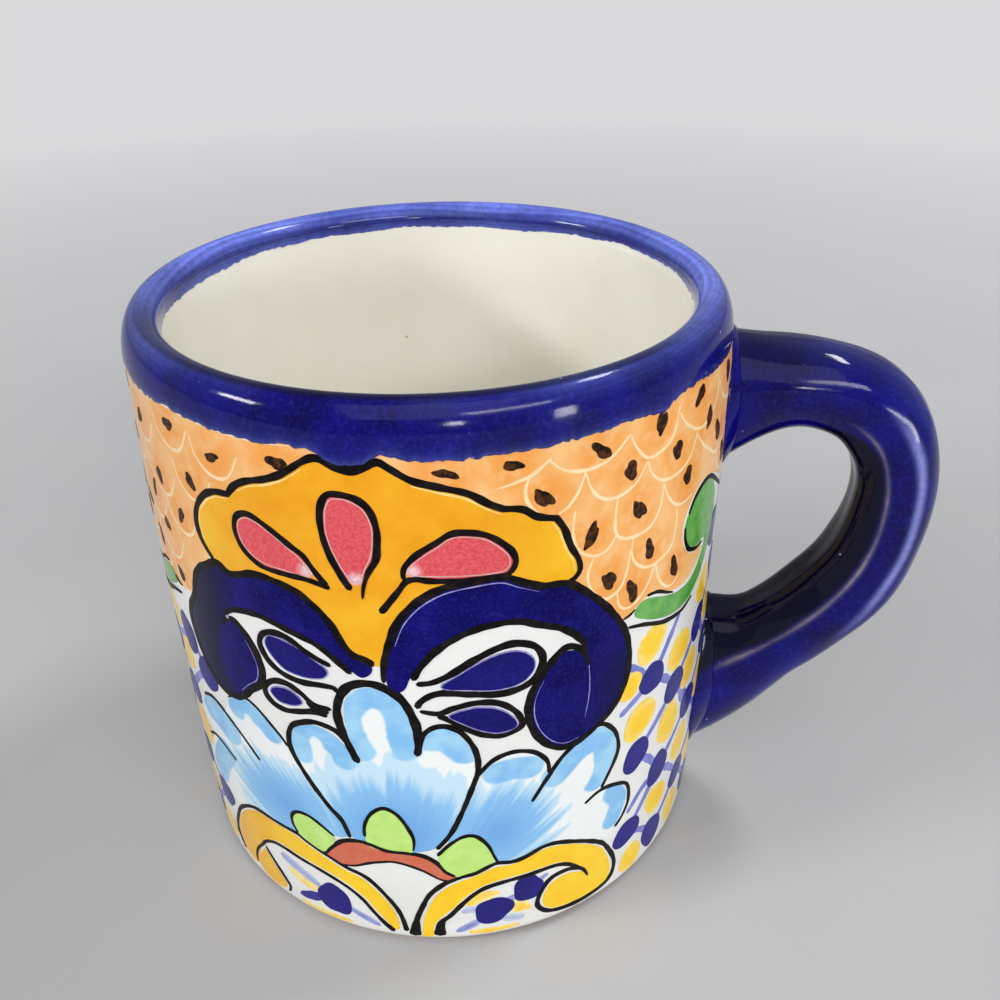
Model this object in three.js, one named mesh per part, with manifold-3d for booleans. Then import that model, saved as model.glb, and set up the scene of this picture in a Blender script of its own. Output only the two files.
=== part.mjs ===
// Hand-painted earthenware coffee mug in millimetres, +Z up.
// The origin is the middle of the flat foot, and +X points at the handle.
import * as THREE from 'three';
import { mergeVertices } from 'three/addons/utils/BufferGeometryUtils.js';
import Module from 'manifold-3d';

// Cup: sizes of the clay, before the glaze coats
const cupHeight = 94.5;
const bellyRadius = 44.8;
const bellyHeight = 42;
const footSetback = 0.5;
const footRounding = 2.5;
const neckSetback = 0.9;
const neckDrop = 4.5;
const lipSetback = 0.5;
const lipOverhang = 0.1;
const wallThickness = 4.2;
const floorThickness = 6;
const floorFillet = 6;

// Glaze coats and the gaps that pieces keep where they meet
const glazeThickness = 0.4;
const coatGap = 0.1;
const joinGap = 0.3;
const bareFootHeight = 0.9;
const bandDepth = 5.5;
const linerDrop = 4.2;

// Handle: the loop's middle line, drawn in the XZ plane
const fingerGap = 20.9;
const upperRootDrop = 17.4;
const upperArmPull = 15.1;
const upperArmRise = 8.6;
const outermostHeight = 63;
const shoulderPull = 17;
const heelPull = 19;
const lowerRootHeight = 21.2;
const lowerArmPull = 18.1;
const lowerArmRise = 15;

// Handle: thickness in the loop's plane and width across it
const armThickness = 11.5;
const upperRootThickness = 20;
const heelThickness = 14.2;
const lowerRootThickness = 27;
const armWidth = 12.8;
const rootWidth = 14.4;

// Handle: shares of its length where the roots flare and the heel swells, and the inner face's shape
const rootStretch = 0.16;
const swellStart = 0.45;
const swellEnd = 0.85;
const innerFaceFlatness = 0.45;

// Luting slip that welds the handle's ends to the wall
const slipThickness = 1.2;
const slipMargin = 1.2;
const slipReach = 8;

// Facet counts
const turnSteps = 48;
const wallSteps = 6;
const footSteps = 3;
const lipSteps = 5;
const filletSteps = 4;
const loopSteps = 24;
const sectionSteps = 16;

// Finishes
const clay = { color: 0xd9b48f, roughness: 0.85, metalness: 0 };
const cobalt = { color: 0x1b1a6e, roughness: 0.2, metalness: 0 };
const cream = { color: 0xe4e1d2, roughness: 0.2, metalness: 0 };
const white = { color: 0xf1efe8, roughness: 0.2, metalness: 0 };

// Heights and radii that follow from the sizes above
const footRadius = bellyRadius - footSetback;
const neckRadius = bellyRadius - neckSetback;
const neckHeight = cupHeight - neckDrop;
const coatDepth = coatGap + glazeThickness;
const lipOuterRadius = neckRadius - lipSetback;
const lipInnerRadius = neckRadius - wallThickness - lipOverhang;
const lipRoll = (lipOuterRadius - lipInnerRadius) / 2;
const lipCentre = new THREE.Vector2((lipOuterRadius + lipInnerRadius) / 2, cupHeight - lipRoll);
const footCentre = new THREE.Vector2(footRadius - footRounding, footRounding);
const bandHeight = cupHeight - bandDepth;
const linerHeight = cupHeight - linerDrop;
const slipOuterFace = joinGap + slipThickness;
const acrossHandle = new THREE.Vector3(0, 1, 0);

const wasm = await Module();
wasm.setup();

// Radius of the clay's outside at a height: a parabola through foot, belly and neck
function outsideRadius(z) {
  const heights = [footRounding, bellyHeight, neckHeight];
  const radii = [footRadius, bellyRadius, neckRadius];
  let radius = 0;
  for (let i = 0; i < heights.length; i += 1) {
    let weight = 1;
    for (let j = 0; j < heights.length; j += 1) {
      if (j !== i) weight *= (z - heights[j]) / (heights[i] - heights[j]);
    }
    radius += weight * radii[i];
  }
  return radius;
}

// Points of an arc about a centre, from one angle to another, in degrees
function arc(centre, radius, fromDegrees, toDegrees, steps) {
  const points = [];
  for (let i = 0; i <= steps; i += 1) {
    const angle = THREE.MathUtils.degToRad(fromDegrees + ((toDegrees - fromDegrees) * i) / steps);
    const reach = new THREE.Vector2(Math.cos(angle), Math.sin(angle)).multiplyScalar(radius);
    points.push(reach.add(centre));
  }
  return points;
}

// Points along the wall between two heights, moved from its outside towards the axis by an inset
function wallPoints(fromHeight, toHeight, inset) {
  const points = [];
  for (let i = 0; i <= wallSteps; i += 1) {
    const z = fromHeight + ((toHeight - fromHeight) * i) / wallSteps;
    points.push(new THREE.Vector2(outsideRadius(z) - inset, z));
  }
  return points;
}

// The clay's outside, rising from the foot's rounding to the crest of the lip
function outsidePath() {
  return [
    ...arc(footCentre, footRounding, -90, 0, footSteps),
    ...wallPoints(footRounding, neckHeight, 0).slice(1),
    ...arc(lipCentre, lipRoll, 0, 90, lipSteps),
  ];
}

// The clay's inside, falling from the crest of the lip to the middle of the floor
function insidePath() {
  const filletTop = floorThickness + floorFillet;
  const wall = wallPoints(lipCentre.y, filletTop, wallThickness);
  const filletCentre = new THREE.Vector2(wall[wallSteps].x - floorFillet, filletTop);
  return [
    ...arc(lipCentre, lipRoll, 90, 180, lipSteps),
    ...wall.slice(1),
    ...arc(filletCentre, floorFillet, 0, -90, filletSteps).slice(1),
    new THREE.Vector2(0, floorThickness),
  ];
}

// The point where a path that only rises, or only falls, passes a height
function crossing(path, height) {
  const next = path.findIndex((point, i) => i > 0 && (point.y - height) * (path[i - 1].y - height) <= 0);
  const from = path[next - 1];
  const to = path[next];
  return from.clone().lerp(to, (height - from.y) / (to.y - from.y));
}

// The stretch of a path above a height
function above(path, height) {
  const kept = path.filter((point) => point.y > height);
  const rises = path[path.length - 1].y > path[0].y;
  return rises ? [crossing(path, height), ...kept] : [...kept, crossing(path, height)];
}

// The stretch of a path below a height
function below(path, height) {
  const kept = path.filter((point) => point.y < height);
  const rises = path[path.length - 1].y > path[0].y;
  return rises ? [...kept, crossing(path, height)] : [crossing(path, height), ...kept];
}

// Moves an open outline to the right of its direction, and keeps a point of it on the axis there
function offset(outline, distance) {
  return outline.map((point, i) => {
    const before = outline[Math.max(i - 1, 0)];
    const after = outline[Math.min(i + 1, outline.length - 1)];
    const along = after.clone().sub(before).normalize();
    const moved = new THREE.Vector2(point.x + along.y * distance, point.y - along.x * distance);
    if (point.x === 0) moved.x = 0;
    return moved;
  });
}

// Makes a solid from a closed geometry
function solid(geometry) {
  geometry.deleteAttribute('normal');
  geometry.deleteAttribute('uv');
  const merged = mergeVertices(geometry);
  const vertProperties = new Float32Array(merged.attributes.position.array);
  const triVerts = new Uint32Array(merged.index.array);
  return new wasm.Manifold(new wasm.Mesh({ numProp: 3, vertProperties, triVerts }));
}

// Turns a profile, drawn as radius and height, about the Z axis
function turned(profile) {
  const geometry = new THREE.LatheGeometry(profile, turnSteps);
  geometry.rotateX(Math.PI / 2);
  return solid(geometry);
}

// Makes a coat of glaze on an outline of the clay: a thin shell that stands clear of it by coatGap
function coat(outline) {
  const profile = [...offset(outline, coatGap).reverse(), ...offset(outline, coatDepth)];
  const endsOnAxis = outline[outline.length - 1].x === 0;
  if (!endsOnAxis) profile.push(profile[0].clone());
  return turned(profile);
}

// The solid inside the outer wall, grown by a distance: it cuts what meets the wall
function wallCore(grow) {
  const bottom = new THREE.Vector2(0, 0);
  const top = new THREE.Vector2(0, cupHeight);
  return turned([bottom, ...wallPoints(0, cupHeight, -grow), top]);
}

// The handle's middle line, from inside the wall at the top to inside the wall at the bottom
function handleLine() {
  const rootRadius = bellyRadius - wallThickness / 2;
  const upperRootHeight = cupHeight - upperRootDrop;
  const outermost = bellyRadius + coatDepth + fingerGap + armThickness / 2;
  const point = (x, z) => new THREE.Vector3(x, 0, z);
  const line = new THREE.CurvePath();
  line.add(new THREE.CubicBezierCurve3(
    point(rootRadius, upperRootHeight),
    point(rootRadius + upperArmPull, upperRootHeight + upperArmRise),
    point(outermost, outermostHeight + shoulderPull),
    point(outermost, outermostHeight),
  ));
  line.add(new THREE.CubicBezierCurve3(
    point(outermost, outermostHeight),
    point(outermost, outermostHeight - heelPull),
    point(rootRadius + lowerArmPull, lowerRootHeight + lowerArmRise),
    point(rootRadius, lowerRootHeight),
  ));
  return line;
}

// How near a share of the handle's length is to each root: 1 at the root, 0 past its flare
function rootNearness(share) {
  const upper = 1 - THREE.MathUtils.smoothstep(share, 0, rootStretch);
  const lower = THREE.MathUtils.smoothstep(share, 1 - rootStretch, 1);
  return { upper, lower, either: Math.max(upper, lower) };
}

// Thickness and width of the handle at a share of its length: it flares towards both roots
function handleSection(share) {
  const near = rootNearness(share);
  const heelSwell = THREE.MathUtils.smoothstep(share, swellStart, swellEnd);
  const thickness = armThickness
    + (upperRootThickness - armThickness) * near.upper
    + (heelThickness - armThickness) * heelSwell
    + (lowerRootThickness - heelThickness) * near.lower;
  const width = armWidth + (rootWidth - armWidth) * near.either;
  return { thickness, width };
}

// Direction from the middle line into the loop: square to the line, but upright at the roots
function loopInward(tangent, share) {
  const square = new THREE.Vector3().crossVectors(acrossHandle, tangent);
  const upright = new THREE.Vector3(0, 0, Math.sign(square.z));
  return square.lerp(upright, rootNearness(share).either).normalize();
}

// One ring of the handle's surface, grown by a distance: a round back and a flattened inner face
function handleRing(line, share, grow) {
  const middle = line.getPointAt(share);
  const inward = loopInward(line.getTangentAt(share), share);
  const { thickness, width } = handleSection(share);
  const ring = [];
  for (let j = 0; j < sectionSteps; j += 1) {
    const angle = (2 * Math.PI * j) / sectionSteps;
    const cosine = Math.cos(angle);
    const back = cosine < 0 ? -((-cosine) ** innerFaceFlatness) : cosine;
    const vertex = middle.clone();
    vertex.addScaledVector(inward, -back * (thickness / 2 + grow));
    vertex.addScaledVector(acrossHandle, Math.sin(angle) * (width / 2 + grow));
    ring.push(...vertex.toArray());
  }
  return ring;
}

// Lofts the handle between two of its steps, grown by a distance all round
function handleLoft(grow, fromStep = 0, toStep = loopSteps) {
  const line = handleLine();
  const rings = toStep - fromStep;
  const positions = [];
  const faces = [];
  for (let i = 0; i <= rings; i += 1) {
    positions.push(...handleRing(line, (fromStep + i) / loopSteps, grow));
  }
  for (let i = 0; i < rings; i += 1) {
    for (let j = 0; j < sectionSteps; j += 1) {
      const a = i * sectionSteps + j;
      const b = i * sectionSteps + ((j + 1) % sectionSteps);
      faces.push(a, a + sectionSteps, b, b, a + sectionSteps, b + sectionSteps);
    }
  }
  const last = rings * sectionSteps;
  for (let j = 1; j < sectionSteps - 1; j += 1) {
    faces.push(0, j, j + 1);
    faces.push(last, last + j + 1, last + j);
  }
  const geometry = new THREE.BufferGeometry();
  geometry.setAttribute('position', new THREE.Float32BufferAttribute(positions, 3));
  geometry.setIndex(faces);
  return solid(geometry);
}

// Slip on one root of the handle: a collar on the wall, wider than the handle's section
function slipJoint(fromStep, toStep) {
  const root = handleLoft(slipMargin, fromStep, toStep);
  return root.intersect(wallCore(slipOuterFace)).subtract(wallCore(joinGap));
}

// A named mesh of a solid
function part(name, body, finish) {
  const mesh = body.getMesh();
  const geometry = new THREE.BufferGeometry();
  geometry.setAttribute('position', new THREE.BufferAttribute(mesh.vertProperties, 3));
  geometry.setIndex(new THREE.BufferAttribute(mesh.triVerts, 1));
  geometry.computeVertexNormals();
  const named = new THREE.Mesh(geometry, new THREE.MeshStandardMaterial(finish));
  named.name = name;
  return named;
}

// Clay cup: underside, outside, lip and inside as one closed profile
const cupBody = turned([new THREE.Vector2(0, 0), ...outsidePath(), ...insidePath().slice(1)]);

// Handle and its joints, cut where they meet the wall
const rootSteps = Math.ceil((loopSteps * (wallThickness / 2 + slipReach)) / handleLine().getLength());
const upperSlip = slipJoint(0, rootSteps);
const lowerSlip = slipJoint(loopSteps - rootSteps, loopSteps);
const handleCut = wallCore(slipOuterFace + joinGap);
const handle = handleLoft(0).subtract(handleCut);
const handleGlaze = handleLoft(coatDepth).subtract(handleLoft(coatGap)).subtract(handleCut);

// Coats on the cup, open where the handle's joints pass through them
const rootHoles = handleLoft(slipMargin + joinGap);
const outerOutline = below(above(outsidePath(), bareFootHeight), bandHeight - joinGap);
const outerGlaze = coat(outerOutline).subtract(rootHoles);
const rimOutline = [...above(outsidePath(), bandHeight), ...above(insidePath(), linerHeight).slice(1)];
const rimGlaze = coat(rimOutline).subtract(rootHoles);
const linerGlaze = coat(below(insidePath(), linerHeight - joinGap));

const mug = new THREE.Group();
mug.add(part('cup_body', cupBody, clay));
mug.add(part('handle', handle, clay));
mug.add(part('upper_slip_joint', upperSlip, cobalt));
mug.add(part('lower_slip_joint', lowerSlip, cobalt));
mug.add(part('liner_glaze', linerGlaze, cream));
mug.add(part('outer_glaze', outerGlaze, white));
mug.add(part('rim_glaze', rimGlaze, cobalt));
mug.add(part('handle_glaze', handleGlaze, cobalt));

export default mug;
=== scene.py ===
import itertools
import math
import random

import bpy
import numpy as np
from mathutils import Matrix, Vector
from mathutils.geometry import delaunay_2d_cdt


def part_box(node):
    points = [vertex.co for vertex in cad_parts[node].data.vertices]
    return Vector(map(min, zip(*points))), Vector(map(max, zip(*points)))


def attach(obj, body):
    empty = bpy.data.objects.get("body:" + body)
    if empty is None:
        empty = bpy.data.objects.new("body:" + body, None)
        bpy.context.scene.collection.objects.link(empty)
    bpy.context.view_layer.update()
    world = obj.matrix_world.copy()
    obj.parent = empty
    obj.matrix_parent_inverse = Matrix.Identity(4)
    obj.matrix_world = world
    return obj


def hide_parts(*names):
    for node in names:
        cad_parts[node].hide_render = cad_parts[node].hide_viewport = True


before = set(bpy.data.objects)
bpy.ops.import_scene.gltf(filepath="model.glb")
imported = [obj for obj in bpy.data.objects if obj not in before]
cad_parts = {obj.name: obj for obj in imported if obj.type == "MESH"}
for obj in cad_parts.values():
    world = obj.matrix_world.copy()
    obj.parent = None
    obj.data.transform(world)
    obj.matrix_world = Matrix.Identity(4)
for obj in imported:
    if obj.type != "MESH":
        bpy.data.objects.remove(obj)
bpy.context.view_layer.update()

# Lengths are in millimetres until a mesh is made
MM = 0.001
HAND = random.Random(7)


def node_box(node):
    """Lowest and highest corner of a CAD node in millimetres."""
    low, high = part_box(node)
    return np.array(low) / MM, np.array(high) / MM


# Sizes read from the frame
_, coat_top = node_box("outer_glaze")
_, rim_top = node_box("rim_glaze")
liner_base, _ = node_box("liner_glaze")

BELLY_RADIUS = coat_top[1]
MUG_HEIGHT = rim_top[2]
BELLY_SHARE = 0.442
BELLY_HEIGHT = BELLY_SHARE * MUG_HEIGHT
FOOT_SETBACK = 0.5
FOOT_ROUNDING = 3.0
FOOT_HEIGHT = 2.5
NECK_SETBACK = 0.9
NECK_HEIGHT = MUG_HEIGHT - 5.0
WALL_THICKNESS = 5.2
COAT = 0.5
BARE_FOOT = 0.9
LIP_RADIUS = 2.4
LIP_SETBACK = 3.8
LIP_CENTRE = (BELLY_RADIUS - LIP_SETBACK, MUG_HEIGHT - LIP_RADIUS)
SHOULDER = MUG_HEIGHT - 6.0
FLOOR_COAT = 0.4
FLOOR_TOP = liner_base[2] + FLOOR_COAT
FLOOR_FILLET = 5.5

# The lip isn't quite level: it stands highest near the front
LIP_LEAN = 0.65
LEAN_TURN = math.radians(-70)
LEAN_START = MUG_HEIGHT - 5.5
LEAN_END = MUG_HEIGHT - 1.0

# The drawing is unrolled: x runs round the wall from the middle of the front, z is the height
ARC_RADIUS = 45.0
HALF_TURN = math.pi * ARC_RADIUS
QUARTER = HALF_TURN / 2
FRONT = -math.pi / 2

# Sizes of the three slow waves that the hand left in the wall
WAVE_SIZES = (0.07, 0.05, 0.03)
# Swellings where the handle was pressed on: how far each stands out, its height and its reach upwards
PRESSED_PLACES = [(1.0, 79, 11), (0.5, 22, 14)]
PRESSED_WIDTH = 11
# The wall is uneven between these heights: it sets in over the first two and fades over the last two
UNEVEN_HEIGHTS = (1, 6, 86, 91)

# How far each layer of paint is sunk into the glazed wall and stands off it
EMBED = 0.12
GROUND_LIFT = 0.03
GROUND_LIFT_LEFT = 0.034
SCALE_LIFT = 0.055
SEED_LIFT = 0.075
FRINGE_LIFT = 0.095
LATTICE_LIFT = 0.04
DOT_LIFT = 0.07
BLUE_DOT_LIFT = 0.09
STRAW_LIFT = 0.09
FAN_LIFT = 0.06
FLOWER_LIFT = 0.05
FILL_LIFT = 0.11
EDGE_LIFT = 0.13
INK_LIFT = 0.15
KNOT_LIFT = 0.18
DRIP_LIFT = 0.18
BAND_LIFT = 0.2


def smooth(value, start, end):
    """0 before start, 1 after end, and a smooth step between them."""
    t = np.clip((np.asarray(value, float) - start) / (end - start), 0, 1)
    return t * t * (3 - 2 * t)


def between(value, rise, full, fall, end):
    """1 from full to fall, 0 before rise and after end, with smooth steps."""
    return smooth(value, rise, full) * (1 - smooth(value, fall, end))


def ripple(turn, waves):
    """Sum of waves round a ring, each given as its size, its number and its phase."""
    return sum(size * np.sin(number * turn + phase) for size, number, phase in waves)


def wall_radius(z):
    """Radius of the glazed wall at a height: a shallow barrel with a rounded foot."""
    z = np.asarray(z, float)
    heights = (FOOT_HEIGHT, BELLY_HEIGHT, NECK_HEIGHT)
    radii = (BELLY_RADIUS - FOOT_SETBACK, BELLY_RADIUS, BELLY_RADIUS - NECK_SETBACK)
    total = 0
    for i in range(3):
        share = radii[i]
        for j in range(3):
            if i != j:
                share = share * (z - heights[j]) / (heights[i] - heights[j])
        total = total + share
    below = np.clip(FOOT_HEIGHT - z, 0, FOOT_ROUNDING)
    return total - FOOT_ROUNDING + np.sqrt(FOOT_ROUNDING**2 - below**2)


def unevenness(turn, z):
    """Slow hand-made waves of the wall and the swelling where the handle was pressed on."""
    slow, middle, quick = WAVE_SIZES
    waves = slow * np.sin(3 * turn + 1.1) * np.cos(z / 17)
    waves = waves + middle * np.sin(5 * turn + z / 23 + 0.4)
    waves = waves + quick * np.sin(9 * turn - z / 11)
    away = 2 * ARC_RADIUS * np.sin(turn / 2)
    swelling = 0
    for size, height, up in PRESSED_PLACES:
        swelling = swelling + size * np.exp(-((away / PRESSED_WIDTH) ** 2) - ((z - height) / up) ** 2)
    return (waves + swelling) * between(z, *UNEVEN_HEIGHTS)


def lip_lean(turn, z):
    """How far the lip stands above or below its level round the mug."""
    return LIP_LEAN * np.cos(turn - LEAN_TURN) * smooth(z, LEAN_START, LEAN_END)


def wall_point(x, z, lift):
    """Points on the wall from unrolled places, standing off it by lift."""
    turn = FRONT + np.asarray(x, float) / ARC_RADIUS
    radius = wall_radius(z) + unevenness(turn, z) + lift
    return np.stack([radius * np.cos(turn), radius * np.sin(turn), z + 0 * radius], -1)


def wall_normal(x, z):
    """Outward normals of the wall at unrolled places."""
    step = 0.2
    across = wall_point(x + step, z, 0) - wall_point(x - step, z, 0)
    along = wall_point(x, z + step, 0) - wall_point(x, z - step, 0)
    normal = np.cross(across, along)
    return normal / np.linalg.norm(normal, axis=-1, keepdims=True)


class Part:
    """Vertices and faces with values for the shader and places for the unrolled texture."""

    def __init__(self, points, faces, across, along, values=None, normals=None):
        self.points = np.asarray(points, float)
        self.faces = faces
        self.across = np.asarray(across, float)
        self.along = np.asarray(along, float)
        self.values = values or {}
        self.normals = normals


def skin(grid, values=None, wrap_rows=False, caps=(None, None)):
    """Part from a grid of points (rows, columns, 3) whose columns run round in a ring."""
    rows, columns = grid.shape[:2]
    points = list(grid.reshape(-1, 3))
    row_share, column_share = np.meshgrid(
        np.linspace(0, 1, rows), np.arange(columns) / columns, indexing="ij"
    )
    across = list(column_share.ravel())
    along = list(row_share.ravel())
    values = {name: list(np.ravel(field)) for name, field in (values or {}).items()}
    faces = []
    for i in range(rows if wrap_rows else rows - 1):
        low = i * columns
        high = ((i + 1) % rows) * columns
        for j in range(columns):
            k = (j + 1) % columns
            faces.append((low + j, low + k, high + k, high + j))
    for end, centre in enumerate(caps):
        if centre is None:
            continue
        row = (rows - 1) * columns if end else 0
        points.append(np.asarray(centre, float))
        across.append(0.5)
        along.append(float(end))
        for field in values.values():
            field.append(field[row])
        for j in range(columns):
            k = (j + 1) % columns
            a, b = (row + j, row + k) if end else (row + k, row + j)
            faces.append((a, b, len(points) - 1))
    return Part(points, faces, across, along, values)


def make_piece(name, parts, material, nodes=()):
    """One named mesh from parts, riding on the mug's only body."""
    points = np.concatenate([part.points for part in parts]) * MM
    faces = []
    start = 0
    for part in parts:
        faces.extend([tuple(start + i for i in face) for face in part.faces])
        start += len(part.points)
    mesh = bpy.data.meshes.new(name)
    mesh.from_pydata(points.tolist(), [], faces)
    names = sorted({key for part in parts for key in part.values})
    for key in names:
        field = mesh.attributes.new(key, "FLOAT", "POINT")
        numbers = [
            np.broadcast_to(part.values.get(key, 0.0), len(part.points)) for part in parts
        ]
        field.data.foreach_set("value", np.concatenate(numbers).astype(np.float32))
    unwrap(mesh, parts)
    mesh.polygons.foreach_set("use_smooth", [True] * len(mesh.polygons))
    if parts[0].normals is not None:
        normals = np.concatenate([part.normals for part in parts])
        mesh.normals_split_custom_set_from_vertices(normals.tolist())
    mesh.materials.append(material)
    piece = bpy.data.objects.new(name, mesh)
    bpy.context.scene.collection.objects.link(piece)
    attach(piece, "root")
    if nodes:
        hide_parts(*nodes)


def unwrap(mesh, parts):
    """Texture places rolled out flat, with a margin for the faces that cross the seam."""
    margin = 0.02
    across = np.concatenate([part.across for part in parts]) % 1.0
    along = np.concatenate([part.along for part in parts])
    loops = np.empty(len(mesh.loops), int)
    mesh.loops.foreach_get("vertex_index", loops)
    first = np.empty(len(mesh.polygons), int)
    mesh.polygons.foreach_get("loop_start", first)
    count = np.empty(len(mesh.polygons), int)
    mesh.polygons.foreach_get("loop_total", count)
    lead = np.repeat(across[loops[first]], count)
    u = across[loops]
    u = np.where(u - lead > 0.5, u - 1, u)
    u = np.where(u - lead < -0.5, u + 1, u)
    v = np.clip(along[loops], 0, 1)
    layer = mesh.uv_layers.new(name="OFBake")
    flat = np.stack([margin + (1 - 2 * margin) * u, margin + (1 - 2 * margin) * v], -1)
    layer.data.foreach_set("uv", flat.ravel().astype(np.float32))


# Drawing on the unrolled wall


def spline(points, closed=False, spacing=0.4):
    """Smooth line through chosen points; a point given twice makes a corner."""
    chosen = [np.array(point, float) for point in points]
    count = len(chosen)
    line = []
    for i in range(count if closed else count - 1):
        if closed:
            p0, p1, p2, p3 = (chosen[(i + k) % count] for k in (-1, 0, 1, 2))
        else:
            p0, p1, p2, p3 = (chosen[min(max(i + k, 0), count - 1)] for k in (-1, 0, 1, 2))
        steps = int(np.ceil(np.linalg.norm(p2 - p1) / spacing))
        for t in np.arange(steps) / max(steps, 1):
            line.append(
                0.5 * (2 * p1 + (p2 - p0) * t)
                + 0.5 * (2 * p0 - 5 * p1 + 4 * p2 - p3) * t**2
                + 0.5 * (3 * p1 - p0 - 3 * p2 + p3) * t**3
            )
    if not closed:
        line.append(chosen[-1])
    return np.array(line)


def area(outline):
    """Signed area of a closed outline."""
    x, z = outline.T
    return 0.5 * np.sum(x * np.roll(z, -1) - np.roll(x, -1) * z)


def side_of(line, closed):
    """Unit vectors to the left of a line at its points."""
    if closed:
        run = np.roll(line, -1, 0) - np.roll(line, 1, 0)
    else:
        run = np.gradient(line, axis=0)
    run = run / np.maximum(np.linalg.norm(run, axis=1, keepdims=True), 1e-9)
    return np.stack([-run[:, 1], run[:, 0]], -1)


def inset(outline, distance):
    """A closed outline moved inwards."""
    turn = 1 if area(outline) > 0 else -1
    return outline + turn * distance * side_of(outline, True)


def inside(places, outline):
    """Which places lie inside a closed outline."""
    x, z = places[:, :1], places[:, 1:]
    ax, az = outline.T
    bx, bz = np.roll(outline, -1, 0).T
    crossing = (az > z) != (bz > z)
    rise = np.where(bz == az, 1e-9, bz - az)
    return np.sum(crossing & (x < ax + (z - az) * (bx - ax) / rise), 1) % 2 == 1


def reach(places, line):
    """Distance from each place to the nearest point of a line."""
    gaps = places[:, None, :] - line[None, :, :]
    return np.sqrt(np.min(np.sum(gaps**2, -1), 1))


# A patch is filled with rows of points: their usual step, and the rows' and the edge's distance in steps
COARSE_STEP = 1.3
ROW_SHARE = 0.87
EDGE_SHARE = 0.45
MERGE = 1e-5


class Flat:
    """A drawn shape in unrolled places, before it is laid on the wall."""

    def __init__(self, places, lift, faces, values=None):
        self.places = places
        self.lift = lift
        self.faces = faces
        self.values = values or {}


def fill(outline, lift, step=COARSE_STEP, **fields):
    """A thin closed patch of paint inside an outline; fields are numbers or functions of place."""
    outline = outline if area(outline) > 0 else outline[::-1]
    low, high = outline.min(0), outline.max(0)
    grid = []
    for row, z in enumerate(np.arange(low[1] + step / 2, high[1], step * ROW_SHARE)):
        for x in np.arange(low[0] + step * (0.25 + 0.5 * (row % 2)), high[0], step):
            grid.append((x, z))
    grid = np.array(grid).reshape(-1, 2)
    if len(grid):
        grid = grid[inside(grid, outline)]
    if len(grid):
        grid = grid[reach(grid, outline) > step * EDGE_SHARE]
    count = len(outline)
    places = [Vector(place) for place in np.concatenate([outline, grid]).tolist()]
    loop = list(range(count))
    edges = [(i, (i + 1) % count) for i in loop]
    made, _, cells, _, _, _ = delaunay_2d_cdt(places, edges, [loop], 1, MERGE)
    top = np.array([tuple(place) for place in made])
    size = len(top)
    faces = []
    directed = set()
    for a, b, c in cells:
        ab, ac = top[b] - top[a], top[c] - top[a]
        if ab[0] * ac[1] - ab[1] * ac[0] < 0:
            b, c = c, b
        faces.append((a, b, c))
        faces.append((size + a, size + c, size + b))
        directed.update([(a, b), (b, c), (c, a)])
    for a, b in sorted(directed):
        if (b, a) not in directed:
            faces.append((b, a, size + a, size + b))
    lifts = np.concatenate([np.full(size, lift), np.full(size, -EMBED)])
    values = {}
    for name, field in fields.items():
        values[name] = np.tile(field(top), 2) if callable(field) else field
    return Flat(np.tile(top, (2, 1)), lifts, faces, values)


def patch(points, lift, step=COARSE_STEP, margin=0.0, **fields):
    """A patch inside the smooth outline through points, kept back from it by a margin."""
    return fill(inset(spline(points, True), margin), lift, step, **fields)


# Brush strokes: spacing of their points, length of their tapers and half width of their tips
STROKE_SPACING = 0.45
TAPER = 6.0
TIP_HALF = 0.03
# Points across a stroke as shares of its half width, and how much lower its shoulders lie
LANES = (-1.0, -0.8, 0.0, 0.8, 1.0)
SHOULDER_DROP = 0.02
# Strokes lie at slightly different heights in turn, so that crossing ones seldom share a face
STROKE_STEP = 0.0015
STROKE_STEPS = 12
STROKE_NUMBER = itertools.count(1)


def stroke(points, width, lift, ends=(0.7, 0.4), closed=False, **values):
    """A brush line with rounded ends and a slightly unsteady width."""
    line = spline(points, closed, STROKE_SPACING)
    steps = np.linalg.norm(np.diff(line, axis=0), axis=1)
    run = np.concatenate([[0], np.cumsum(steps)])
    phase = HAND.uniform(0, 6)
    half = 0.5 * width * (1 + 0.09 * np.sin(run * 0.9 + phase) + 0.06 * np.sin(run * 2.3 + phase))
    if not closed:
        back = run[-1] - run
        taper = min(TAPER, run[-1] / 2)
        half = half * (ends[0] + (1 - ends[0]) * smooth(run, 0, taper))
        half = half * (ends[1] + (1 - ends[1]) * smooth(back, 0, taper))
        near = np.clip(np.minimum(run, back) / (0.5 * width), 0, 1)
        half = np.maximum(half * np.sqrt(1 - (1 - near) ** 2), TIP_HALF)
    side = side_of(line, closed) * half[:, None]
    raised = lift + STROKE_STEP * (next(STROKE_NUMBER) % STROKE_STEPS)
    shoulder = raised - SHOULDER_DROP
    heights = (-EMBED, shoulder, raised, shoulder, -EMBED)
    places = np.concatenate([line + share * side for share in LANES])
    lifts = np.concatenate([np.full(len(line), height) for height in heights])
    count = len(line)
    faces = []
    for i in range(count if closed else count - 1):
        k = (i + 1) % count
        for lane in range(len(LANES)):
            near, far = lane * count, ((lane + 1) % len(LANES)) * count
            faces.append((near + i, near + k, far + k, far + i))
    if not closed:
        faces.append(tuple(lane * count for lane in range(len(LANES))))
        faces.append(tuple(lane * count + count - 1 for lane in reversed(range(len(LANES)))))
    return Flat(places, lifts, faces, values)


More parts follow.
